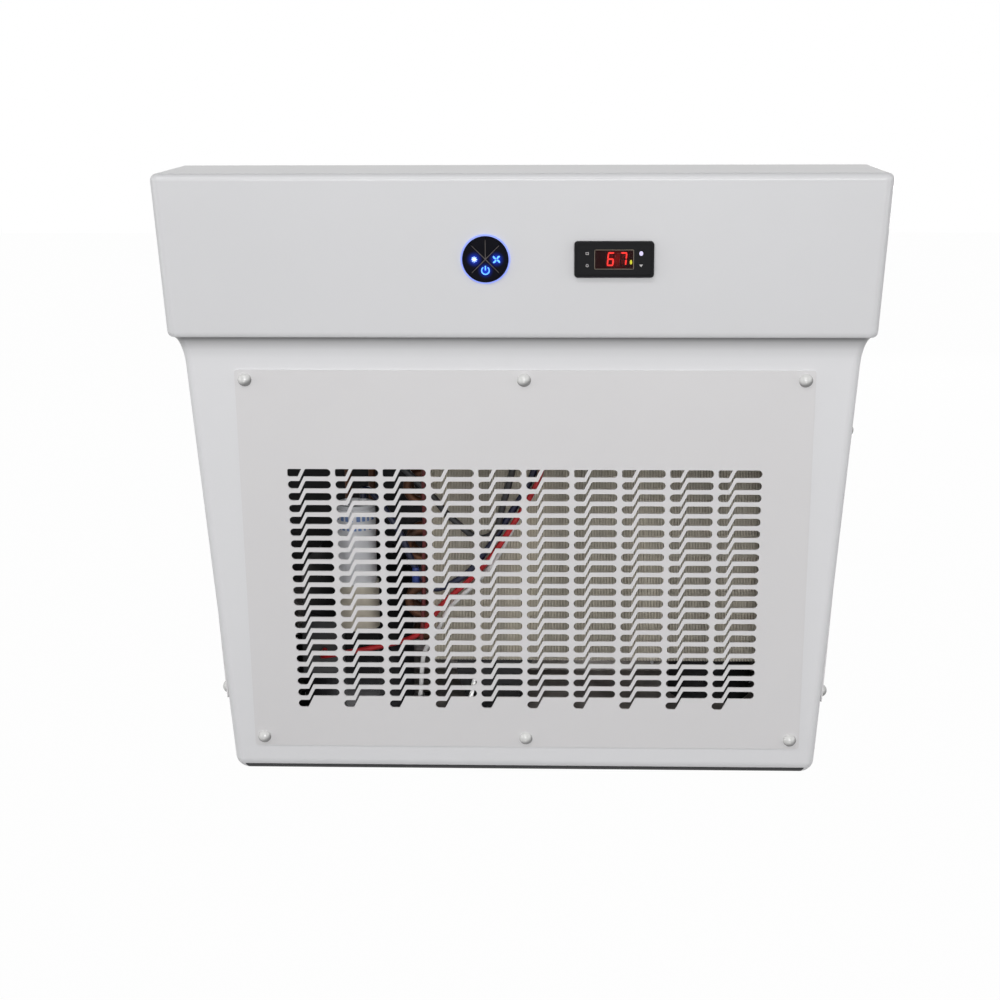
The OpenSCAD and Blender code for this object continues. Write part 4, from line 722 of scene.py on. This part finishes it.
# Round key pad
KEY_T = 0.0016
POCKET_R = (KEYPAD_D - 0.0016) / 2
KEY_TOP = KEYPAD_H
ICON_T = 0.00006
KEY_ANGLES = {"key_fan": 0, "key_upper_right": 67.5, "key_upper_left": 112.5, "key_light": 180,
              "key_power": 270}
DIVIDER_ANGLES = (45, 90, 135, 225, 315)
DIVIDER_T = 0.00052
DIVIDER_SINK = 0.00012
DIVIDER_FOOT = 0.0006
DIVIDER_START = 0.0002
DIVIDER_END = POCKET_R * 0.86
DIVIDER_TAPER = 0.6
ICON_R = 0.0108
FAN_SIZE = 0.0050
LIGHT_SIZE = 0.0030
POWER_SIZE = 0.0044
HALO_REACH = 0.0090
HALO_BLUE = (0.008, 0.045, 0.62)
KEY_BLACK = (0.003, 0.003, 0.007)


def glowing(name, centre, reach, glow, strength, base, **finish):
    """A dark lit key: light leaks round the symbol and fades with the distance from it."""
    material = surface(name, base, **finish)
    tree = material.node_tree
    link = tree.links.new
    shader = tree.nodes["Principled BSDF"]
    coords = node_of(tree, "ShaderNodeTexCoord")
    span = node_of(tree, "ShaderNodeVectorMath", operation="DISTANCE")
    span.inputs[1].default_value = centre
    link(coords.outputs["Object"], span.inputs[0])
    fade = node_of(tree, "ShaderNodeMapRange", interpolation_type="SMOOTHERSTEP")
    fade.inputs["From Min"].default_value = 0.0
    fade.inputs["From Max"].default_value = reach
    fade.inputs["To Min"].default_value = 1.0
    fade.inputs["To Max"].default_value = 0.0
    link(span.outputs["Value"], fade.inputs["Value"])
    ramp = node_of(tree, "ShaderNodeValToRGB")
    ramp.color_ramp.elements[0].color = (0, 0, 0, 1)
    ramp.color_ramp.elements[1].color = list(glow) + [1]
    middle = ramp.color_ramp.elements.new(0.5)
    middle.color = [c * 0.34 for c in glow] + [1]
    link(fade.outputs["Result"], ramp.inputs["Fac"])
    link(ramp.outputs["Color"], shader.inputs["Emission Color"])
    shader.inputs["Emission Strength"].default_value = strength
    return material


def arc_band(r0, r1, start, end, steps=24, mid=(0, 0)):
    """Outline of a band of a circle between two angles in degrees."""
    angles = [math.radians(mix(start, end, i / steps)) for i in range(steps + 1)]
    return ([(mid[0] + r1 * math.cos(a), mid[1] + r1 * math.sin(a)) for a in angles]
            + [(mid[0] + r0 * math.cos(a), mid[1] + r0 * math.sin(a)) for a in reversed(angles)])


def fan_icon(mid, size):
    blades = []
    for k in range(4):
        turn = math.radians(45 + 90 * k)
        outline = []
        for i in range(9):
            a = math.pi * i / 8
            x, y = size * (0.52 - 0.40 * math.cos(a)), size * (0.04 + 0.20 * math.sin(a))
            outline.append((x, y))
        outline += [(size * 0.92, -size * 0.10), (size * 0.12, -size * 0.10)]
        blades.append(prism([(mid[0] + x * math.cos(turn) - y * math.sin(turn),
                              mid[1] + x * math.sin(turn) + y * math.cos(turn)) for x, y in outline],
                            0, ICON_T))
    return join_parts(blades)


def light_icon(mid, size):
    parts = [pin(*mid, size * 0.50, 0, ICON_T, 24)]
    for k in range(8):
        a = math.pi * k / 4
        along, over = (math.cos(a), math.sin(a)), (-math.sin(a), math.cos(a))
        corners = [(0.66, -0.09), (0.95, -0.07), (0.95, 0.07), (0.66, 0.09)]
        ray = [(mid[0] + size * (u * along[0] + v * over[0]),
                mid[1] + size * (u * along[1] + v * over[1])) for u, v in corners]
        parts.append(prism(ray, 0, ICON_T))
    return join_parts(parts)


def power_icon(mid, size):
    arc = arc_band(size * 0.72, size * 0.96, 125, 415, 30, mid)
    bar = [(mid[0] + x * size, mid[1] + y * size)
           for x, y in ((-0.13, 0.05), (0.13, 0.05), (0.13, 1.05), (-0.13, 1.05))]
    return join_parts([prism(arc, 0, ICON_T), prism(bar, 0, ICON_T)])


def make_keypad():
    world = on_header(KEYPAD_X)
    icons = {"key_fan": (fan_icon, FAN_SIZE), "key_light": (light_icon, LIGHT_SIZE),
             "key_power": (power_icon, POWER_SIZE)}
    glow = lit("icon_glow", (0.08, 0.34, 1.0), 2.3)
    hot = lit("lamp_glow", (0.55, 0.80, 1.0), 3.4)
    for key, angle in KEY_ANGLES.items():
        a = math.radians(angle)
        mid = (ICON_R * math.cos(a), ICON_R * math.sin(a))
        if key in icons:
            draw, size = icons[key]
            centre = world @ Vector((mid[0], mid[1], KEY_TOP))
            face = glowing(key + "_face", centre, HALO_REACH, HALO_BLUE, 1.0, KEY_BLACK, roughness=0.3,
                           specular=0.05, grain=0.01)
            dress(key, face)
            place = world @ Matrix.Translation((0, 0, KEY_TOP))
            add_mesh("icon_" + key, *draw(mid, size), hot if key == "key_light" else glow, key, "ring_light",
                     place, 0)
    strips = []
    half = DIVIDER_T / 2
    low = KEY_TOP - KEY_T - DIVIDER_FOOT
    for angle in DIVIDER_ANGLES:
        a = math.radians(angle)
        along, over = Vector((math.cos(a), math.sin(a), 0)), Vector((-math.sin(a), math.cos(a), 0))
        tip = half * DIVIDER_TAPER
        ends = [along * DIVIDER_START - over * half, along * DIVIDER_END - over * tip,
                along * DIVIDER_END + over * tip, along * DIVIDER_START + over * half]
        strips.append(prism([(p.x, p.y) for p in ends], low, KEY_TOP - DIVIDER_SINK))
    add_mesh("keypad_dividers", *join_parts(strips), MAT["divider_grey"], "cabinet", "black_plastic",
             world, 0)
    dress("keypad_light_ring", lit("ring_glow", (0.10, 0.20, 0.95), 0.75, (0.30, 0.33, 0.52)))


# Panel thermostat
LABEL_Z = THERMO_T - 0.0016
GLASS_T = 0.0020
DIGIT_T = 0.0002
OUTLINE_T = 0.00045
OUTLINE_H = 0.00012
WINDOW_R = 0.0008
BOARD_REACH = 0.0140
BOARD_RED = (0.50, 0.006, 0.006)
BOARD_BLACK = (0.018, 0.008, 0.007)
LAMP_MID = (0.0163, -0.0030)
LAMP_R = (0.0012, 0.0022)
MARK_T = 0.00006
MARK_LIFT = 0.0005
MARK_RING = (0.0009, 0.0014)
MARK_OVAL = (0.0019, 0.0022)
MARK_ARROW = ((-0.0017, 0.00105), (0.0017, 0.00105), (0, -0.0015))
MARK_FRAME = ((-0.0015, 0.0007, 0.0015, 0.0012), (-0.0015, -0.0012, 0.0015, -0.0007),
              (-0.0015, -0.0006, -0.0010, 0.0006), (0.0010, -0.0006, 0.0015, 0.0006))
DIGIT_H = 0.0134
DIGIT_W = 0.0066
DIGIT_BAR = 0.00140
DIGIT_SLANT = 0.09
DIGIT_PLACES = (-0.0034, 0.0090)
DIGIT_BARS = ((1, 1, 0, 1, 1, 1, 1), (1, 0, 1, 0, 0, 1, 0))
DIGIT_RED = (1.0, 0.022, 0.014)


def segment(kind, mid_x):
    """One pointed bar of a seven-bar digit, drawn with the usual slant."""
    w, h, b = DIGIT_W / 2, DIGIT_H / 2, DIGIT_BAR / 2
    play = 0.00022
    across = {0: h - b, 3: 0.0, 6: b - h}
    if kind in across:
        y = across[kind]
        x1 = w - b - play
        outline = [(-x1 - b, y), (-x1, y + b), (x1, y + b), (x1 + b, y), (x1, y - b), (-x1, y - b)]
    else:
        x = (b - w) if kind in (1, 4) else (w - b)
        y0, y1 = (play, h - b - play) if kind in (1, 2) else (b + play - h, -play)
        outline = [(x, y0), (x + b, y0 + b), (x + b, y1 - b), (x, y1), (x - b, y1 - b), (x - b, y0 + b)]
    return [(mid_x + px + py * DIGIT_SLANT, py) for px, py in outline]


def make_thermostat():
    world = on_header(THERMO_X)
    face = LABEL_Z - GLASS_T - FIT
    on_bars, off_bars = [], []
    places = [DIGIT_PLACES[0] * 2 - DIGIT_PLACES[1], *DIGIT_PLACES]
    for place, bars in zip(places, ((0,) * 7, *DIGIT_BARS)):
        for kind in range(7):
            solid = prism(segment(kind, place), face - DIGIT_T, face)
            (on_bars if bars[kind] else off_bars).append(solid)
    red = lit("digit_glow", DIGIT_RED, 2.4)
    dim = surface("digit_off", (0.022, 0.007, 0.007), 0.6, specular=0.1, mottle=0.05)
    digits = add_mesh("display_number", *join_parts(on_bars), red, "cabinet", "digit_red", world, 0)
    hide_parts("display_digits")
    add_mesh("display_unlit_bars", *join_parts(off_bars), dim, "cabinet", "bezel_black", world, 0)
    centre = world @ Vector((sum(DIGIT_PLACES) / 2, 0, face))
    dress("thermostat_display", glowing("display_board", centre, BOARD_REACH, BOARD_RED, 0.42, BOARD_BLACK,
                                        roughness=0.6, specular=0.1))
    dress("thermostat_window", make_pane())
    edge = 2 * OUTLINE_T
    outer = rounded(WINDOW_W, WINDOW_H, WINDOW_R, 3)
    inner = rounded(WINDOW_W - edge, WINDOW_H - edge, 0.0005, 3)
    n = len(outer)
    verts = [(x, y, z) for z in (LABEL_Z, LABEL_Z + OUTLINE_H) for x, y in outer + inner]
    faces = []
    for i in range(n):
        k = (i + 1) % n
        faces += [[i, k, n + k, n + i], [2 * n + i, 3 * n + i, 3 * n + k, 2 * n + k],
                  [i, 2 * n + i, 2 * n + k, k], [n + i, n + k, 3 * n + k, 3 * n + i]]
    add_mesh("display_outline", verts, faces, MAT["outline_beige"], "cabinet", "bezel_black", world, 0)
    yellow = lit("lamp_yellow", (0.75, 0.75, 0.02), 1.6)
    add_mesh("display_lamp", *prism(oval(LAMP_MID, *LAMP_R, 20), face - DIGIT_T, face), yellow, "cabinet",
             "digit_red", world, 0)
    make_button_marks(world)


def make_pane():
    """Thin tinted lens with a clear gloss."""
    material = surface("window_smoke", (0.035, 0.006, 0.008), 0.12, specular=0.12, mottle=0.02, grain=0.0)
    material.node_tree.nodes["Principled BSDF"].inputs["Alpha"].default_value = 0.22
    return material


def make_button_marks(world):
    top = LABEL_Z + MARK_LIFT
    high = top + MARK_T
    bright = lit("mark_lit", (0.66, 0.60, 0.90), 1.15)
    for node, (sx, sz), kind in (("button_set", (-1, 1), "frame"), ("button_timer", (-1, -1), "ring"),
                                 ("button_up", (1, 1), "up"), ("button_down", (1, -1), "down")):
        mid = (sx * BUTTON_X, sz * BUTTON_Z)
        if kind == "ring":
            solid = ring_of(mid, *MARK_RING, top, high, 28)
        elif kind == "frame":
            solid = join_parts([box_part((mid[0] + x0, mid[1] + y0, top), (mid[0] + x1, mid[1] + y1, high))
                                for x0, y0, x1, y1 in MARK_FRAME])
        elif kind == "up":
            solid = prism(oval(mid, *MARK_OVAL, 28), top, high)
        else:
            solid = prism([(mid[0] + x, mid[1] + y) for x, y in MARK_ARROW], top, high)
        add_mesh("mark_" + node, *solid, bright if kind == "up" else MAT["mark_grey"], node,
                 "bezel_black", world, 0)


# Behind the plate
FIN_PITCH = 0.0016
FIN_T = 0.00062
FIN_WAVE = 0.0009
FIN_ROWS = 13
FIN_COLS = 9


def make_fins():
    """Thin corrugated plates, a few of them a little bent."""
    low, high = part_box("condenser_fins")
    count = int((high.x - low.x - FIN_T - FIN_WAVE) / FIN_PITCH)
    start = (low.x + high.x - count * FIN_PITCH) / 2
    chance = random.Random(11)
    verts, faces = [], []
    bend = 0.0
    size = FIN_ROWS * FIN_COLS
    for k in range(count + 1):
        bend = 0.6 * bend + chance.uniform(-0.00016, 0.00016)
        centre_z = mix(low.z, high.z, chance.random())
        reach = chance.uniform(0.03, 0.09)
        base = len(verts)
        for side in (-1, 1):
            for r in range(FIN_ROWS):
                z = mix(low.z, high.z, r / (FIN_ROWS - 1))
                dent = bend * math.exp(-((z - centre_z) / reach) ** 2)
                for c in range(FIN_COLS):
                    share = c / (FIN_COLS - 1)
                    wave = FIN_WAVE / 2 if c % 2 else -FIN_WAVE / 2
                    x = start + k * FIN_PITCH + dent * (1 - share) + wave + side * FIN_T / 2
                    verts.append((min(high.x, max(low.x, x)), mix(low.y, high.y, share), z))
        for r in range(FIN_ROWS - 1):
            for c in range(FIN_COLS - 1):
                a = base + r * FIN_COLS + c
                faces.append([a, a + 1, a + 1 + FIN_COLS, a + FIN_COLS])
                faces.append([v + size for v in (a, a + FIN_COLS, a + 1 + FIN_COLS, a + 1)])
        edge = ([r * FIN_COLS for r in range(FIN_ROWS)]
                + [(FIN_ROWS - 1) * FIN_COLS + c for c in range(1, FIN_COLS)]
                + [r * FIN_COLS + FIN_COLS - 1 for r in range(FIN_ROWS - 2, -1, -1)]
                + [c for c in range(FIN_COLS - 2, 0, -1)])
        for a, b in zip(edge, edge[1:] + edge[:1]):
            faces.append([base + a, base + b, base + size + b, base + size + a])
    fins = add_mesh("condenser_fin_pack", verts, faces, MAT["fins_alu"], "cabinet", "fins_alu", None, 0)
    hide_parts("condenser_fins")


LEAD_STEPS = 8
LEAD_SMOOTH = 40
LEAD_R = {"red": 0.0029, "white": 0.0024, "blue": 0.0034}
CABLE_R = 0.0034
THIN_LEAD_R = 0.0021
LEAD_Y = -0.1312
FRONT_LEAD_Y = -0.1368
CABLE_Y = -0.1345
BACK_Y = -0.1419
BACK_Z = 0.5634
LEAD_PATHS = {
    "red": [(-0.219, -0.0822, 0.120), (-0.219, -0.100, 0.120), (-0.214, -0.113, 0.124),
            (-0.150, -0.125, 0.140), (-0.112, LEAD_Y, 0.155), (-0.084, LEAD_Y, 0.190),
            (-0.056, LEAD_Y, 0.216), (-0.035, FRONT_LEAD_Y, 0.240), (-0.008, FRONT_LEAD_Y, 0.281),
            (0.018, FRONT_LEAD_Y, 0.330), (0.040, FRONT_LEAD_Y, 0.442), (0.080, -0.118, 0.505),
            (0.084, -0.118, BACK_Z - 0.004), (0.084, BACK_Y, BACK_Z)],
    "white": [(-0.060, -0.0002, 0.060), (-0.060, -0.010, 0.060), (-0.066, -0.022, 0.040),
              (-0.108, -0.040, 0.020), (-0.124, -0.100, 0.022), (-0.122, -0.133, 0.045),
              (-0.111, -0.131, 0.084), (-0.105, LEAD_Y, 0.135), (-0.088, LEAD_Y, 0.165),
              (-0.078, LEAD_Y, 0.184), (-0.051, LEAD_Y, 0.211), (-0.030, LEAD_Y, 0.236),
              (-0.008, LEAD_Y, 0.276), (0.018, LEAD_Y, 0.326), (0.041, LEAD_Y, 0.442),
              (0.088, -0.116, 0.503), (0.092, -0.118, BACK_Z - 0.004), (0.092, BACK_Y, BACK_Z)],
    "blue": [(-0.1696, -0.106, 0.2976), (-0.1696, -0.106, 0.3064), (-0.160, -0.116, 0.307),
             (-0.130, -0.130, 0.268), (-0.112, LEAD_Y, 0.226), (-0.094, LEAD_Y, 0.206),
             (-0.062, LEAD_Y, 0.220), (-0.042, LEAD_Y, 0.243), (-0.015, LEAD_Y, 0.284),
             (0.011, LEAD_Y, 0.332), (0.033, LEAD_Y, 0.442), (0.072, -0.116, 0.507),
             (0.076, -0.118, BACK_Z - 0.004), (0.076, BACK_Y, BACK_Z)]}
BLACK_PATH = [(-0.140, CABLE_Y, 0.352), (-0.112, CABLE_Y, 0.325), (-0.093, CABLE_Y, 0.306),
              (-0.081, CABLE_Y, 0.290), (-0.066, CABLE_Y, 0.276), (-0.047, CABLE_Y, 0.262),
              (-0.030, CABLE_Y, 0.268), (-0.020, CABLE_Y, 0.300), (-0.010, CABLE_Y, 0.338),
              (0.010, CABLE_Y, 0.440), (0.050, -0.120, 0.500), (0.060, -0.1150, 0.530)]
DARK_RED_PATH = [(-0.1080, -0.1372, 0.146), (-0.1045, -0.1378, 0.194), (-0.1040, -0.1380, 0.238),
                 (-0.1024, -0.1380, 0.270), (-0.1028, -0.1378, 0.303), (-0.1026, -0.1370, 0.330),
                 (-0.098, CABLE_Y, 0.380), (-0.080, -0.130, 0.450), (-0.020, -0.120, 0.500)]
JOINT = ((-0.1125, -0.1352, 0.209), (-0.1125, -0.1352, 0.230))
JOINT_R = 0.0040
JOINT_TAPER = 0.0009
JOINT_STEPS = 12


def add_lead(name, points, radius, look, slot):
    tube = sweep(smooth_path(points, LEAD_STEPS), radius)
    return add_mesh(name, *tube, MAT[look], "cabinet", slot, None, LEAD_SMOOTH)


def make_harness():
    """Black cable, dark-red lead and the blue joint sleeve behind the third and fourth slot columns."""
    add_lead("lead_black", BLACK_PATH, CABLE_R, "black_plastic", "black_plastic")
    add_lead("lead_dark_red", DARK_RED_PATH, THIN_LEAD_R, "lead_dark_red", "lead_red")
    low, high = (Vector(p) for p in JOINT)
    path = [low.lerp(high, k / JOINT_STEPS) for k in range(JOINT_STEPS + 1)]
    add_mesh("joint_sleeve", *sweep(path, lambda k: JOINT_R - JOINT_TAPER * abs(2 * k - 1) ** 6, 20),
             MAT["sleeve_blue"], "cabinet", "lead_blue", None, LEAD_SMOOTH)


def make_leads():
    """Smooth insulated leads along the routes that the frame holds."""
    for look, points in LEAD_PATHS.items():
        slot = "lead_" + look
        lead = add_lead(slot, points, LEAD_R[look], slot, slot)
        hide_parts("wire_" + look)


CAN_X = -0.178
CAN_Y = -0.106
CAN_R = 0.021
CAN_LOW = 0.177
CAN_TOP = 0.293
LID_Z = CAN_TOP - 0.0036
BOOT_Z = CAN_TOP - 0.0014
TAB_W = 0.0064
TAB_T = 0.0008
TAB_H = 0.0040
RIM_T = 0.0012
CRIMP_T = 0.0009
CRIMP_Z = CAN_TOP - 0.007
BAND_ROWS = ((0.2765, 0.0060), (0.2665, 0.0042))
BAND_BARS = 9
BAND_START = 196
BAND_PITCH = 16.5
BAND_WIDTHS = (9.5, 6.0, 11.0)


def can_profile():
    points = [(0, CAN_LOW), (CAN_R - 0.002, CAN_LOW), (CAN_R, CAN_LOW + 0.002), (CAN_R, CRIMP_Z)]
    for i in range(7):
        a = math.pi * i / 6
        points.append((CAN_R - CRIMP_T * math.sin(a), CRIMP_Z + 0.003 * i / 6))
    for i in range(9):
        a = math.pi * i / 8
        points.append((CAN_R - RIM_T + RIM_T * math.cos(a), CAN_TOP - RIM_T + RIM_T * math.sin(a)))
    inner = CAN_R - 2 * RIM_T
    return points + [(inner, CAN_TOP - 0.003), (inner - 0.001, LID_Z), (0, CAN_TOP - 0.0034)]


def make_capacitor():
    """Drawn can with a rolled rim, two tab terminals under soft boots, and a plain broken band round it."""
    place = Matrix.Translation((CAN_X, CAN_Y, 0))
    parts = [revolve(can_profile(), 64)]
    for x in (-1, 1):
        mid = x * CAN_R * 0.4
        parts.append(box_part((mid - TAB_W / 2, -TAB_T / 2, LID_Z),
                              (mid + TAB_W / 2, TAB_T / 2, CAN_TOP + TAB_H)))
        boot = [(0, LID_Z), (0.0042, LID_Z), (0.0040, CAN_TOP - 0.0018), (0.0022, BOOT_Z), (0, BOOT_Z)]
        parts.append(moved(revolve(boot, 28), Matrix.Translation((mid, 0, 0))))
    can = add_mesh("capacitor_can", *join_parts(parts), MAT["can_white"], "cabinet", "can_white", place, 35)
    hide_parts("run_capacitor")
    marks = []
    for row, (z, h) in enumerate(BAND_ROWS):
        for k in range(BAND_BARS):
            start = BAND_START + BAND_PITCH * k + 5 * row
            end = start + BAND_WIDTHS[(k + row) % 3]
            outline = arc_band(CAN_R - 0.0004, CAN_R + 0.00008, start, end, 6)
            marks.append(prism(outline, z, z + h))
    add_mesh("capacitor_band", *join_parts(marks), MAT["print_blue"], "cabinet", "can_white", place, 0)


# Camera, lights, floor
CAMERA_PLACE = (0.052873, -1.916702, 0.747349)
CAMERA_TURN = (-1.776, 13.458, -0.199)
FOCAL_SHARE = 1.769989
PICTURE_MID = (0.52043, 0.483558)
AMBIENT = 0.19
FLOOR_HALF = 6.0
FLOOR_GREY = 0.24
WHITE_SHARE = 0.985
SOFT_EDGES = {"front_grille": 0.0003, "side_grille_left": 0.0003, "side_grille_right": 0.0003,
              "thermostat_bezel": 0.0005}
LAMPS = {
    "key": ((-0.5, -2.2, 2.6), (0, -0.15, 0.35), (2.2, 0.8), 24),
    "front": ((0.1, -3.0, 0.95), (0, -0.15, 0.10), (1.8, 0.9), 41),
    "fill_right": ((2.2, -1.2, 0.7), (0, 0, 0.20), (1.2, 1.4), 9),
    "fill_left": ((-2.2, -0.8, 0.7), (0, 0, 0.20), (1.2, 1.4), 10),
    "bounce_inside": ((0.0, -0.112, 0.050), (0.0, 0.10, 0.010), (0.50, 0.012), 0.32),
    "rear": ((0.5, 2.8, 0.45), (0, 0.1, 0.3), (1.8, 0.3), 30),
}


def make_camera():
    place = Vector(CAMERA_PLACE)
    yaw, pitch, roll = (math.radians(a) for a in CAMERA_TURN)
    ahead = Vector((math.sin(yaw) * math.cos(pitch), math.cos(yaw) * math.cos(pitch), -math.sin(pitch)))
    right = Vector((math.cos(yaw), -math.sin(yaw), 0))
    up = right.cross(ahead)
    x_axis = right * math.cos(roll) + up * math.sin(roll)
    y_axis = up * math.cos(roll) - right * math.sin(roll)
    data = bpy.data.cameras.new("camera")
    data.sensor_width = 36
    data.lens = FOCAL_SHARE * data.sensor_width
    data.shift_x = 0.5 - PICTURE_MID[0]
    data.shift_y = PICTURE_MID[1] - 0.5
    camera = bpy.data.objects.new("camera", data)
    camera.matrix_world = Matrix((
        (x_axis.x, y_axis.x, -ahead.x, place.x),
        (x_axis.y, y_axis.y, -ahead.y, place.y),
        (x_axis.z, y_axis.z, -ahead.z, place.z),
        (0, 0, 0, 1)))
    SCENE.collection.objects.link(camera)
    SCENE.camera = camera


def add_lamp(name, place, target, size, power):
    data = bpy.data.lights.new(name, "AREA")
    data.shape = "RECTANGLE"
    data.size, data.size_y = size
    data.energy = power
    lamp = bpy.data.objects.new(name, data)
    lamp.location = place
    lamp.rotation_euler = (Vector(target) - Vector(place)).to_track_quat("-Z", "Y").to_euler()
    SCENE.collection.objects.link(lamp)


def mix_seen(tree, plain, shown, out, share=None):
    """Shows one shader to camera, glossy and transmission rays, and the plain one to all others."""
    link = tree.links.new
    path = node_of(tree, "ShaderNodeLightPath")
    total = path.outputs["Is Camera Ray"]
    for name in ("Is Glossy Ray", "Is Transmission Ray"):
        add = node_of(tree, "ShaderNodeMath", operation="MAXIMUM")
        link(total, add.inputs[0])
        link(path.outputs[name], add.inputs[1])
        total = add.outputs[0]
    if share:
        part = node_of(tree, "ShaderNodeMath", operation="MULTIPLY")
        part.inputs[1].default_value = share
        link(total, part.inputs[0])
        total = part.outputs[0]
    blend = node_of(tree, "ShaderNodeMixShader")
    link(total, blend.inputs[0])
    link(plain.outputs[0], blend.inputs[1])
    link(shown.outputs[0], blend.inputs[2])
    link(blend.outputs[0], out.inputs[0])


def make_world(ambient):
    world = bpy.data.worlds.new("studio")
    SCENE.world = world
    world.use_nodes = True
    tree = world.node_tree
    tree.nodes.clear()
    white = (1.0, 1.0, 1.0, 1)
    seen = node_of(tree, "ShaderNodeBackground", Strength=1.0, Color=white)
    light = node_of(tree, "ShaderNodeBackground", Strength=ambient, Color=white)
    mix_seen(tree, light, seen, node_of(tree, "ShaderNodeOutputWorld"))


def make_floor():
    corners = [(x * FLOOR_HALF, y * FLOOR_HALF, 0) for x, y in ((-1, -1), (1, -1), (1, 1), (-1, 1))]
    grey = surface("floor_white", [FLOOR_GREY] * 3, 0.9, mottle=0.0)
    floor = add_mesh("floor", corners, [[0, 1, 2, 3]], grey, None, None)
    tree = grey.node_tree
    white = node_of(tree, "ShaderNodeEmission", Strength=1.0)
    mix_seen(tree, tree.nodes["Principled BSDF"], white, tree.nodes["Material Output"], WHITE_SHARE)


make_camera()
make_world(AMBIENT)
for name, (place, target, size, power) in LAMPS.items():
    add_lamp(name, place, target, size, power)
make_floor()
make_shell()

# Painted shade in the cove under the brow and a painted darker header
paint_cove_shade(MAT["shell_white"], COVE_PAINTED_SHADE)
# Painted shade on the sides of the caps turned away from the light
paint_shade_turned_away(MAT["cap_white"], CAP_PAINTED_LIGHT_WAY, CAP_PAINTED_SHADE)
for part in frame["record"]["subparts"]:
    if part["material_slot"] in MAT:
        dress(part["node"], MAT[part["material_slot"]])

make_keypad()
make_thermostat()
make_fins()
make_leads()
make_harness()
make_capacitor()
dress("capacitor_bracket", MAT["black_steel"])
dress("exchanger_barrel", MAT["foam_black"])
# Painted shade: the rear panel's inner side made near-black, greyer towards the bottom
paint_panel_inside_shade("rear_panel")
for name, edge in SOFT_EDGES.items():
    soften(name, edge)
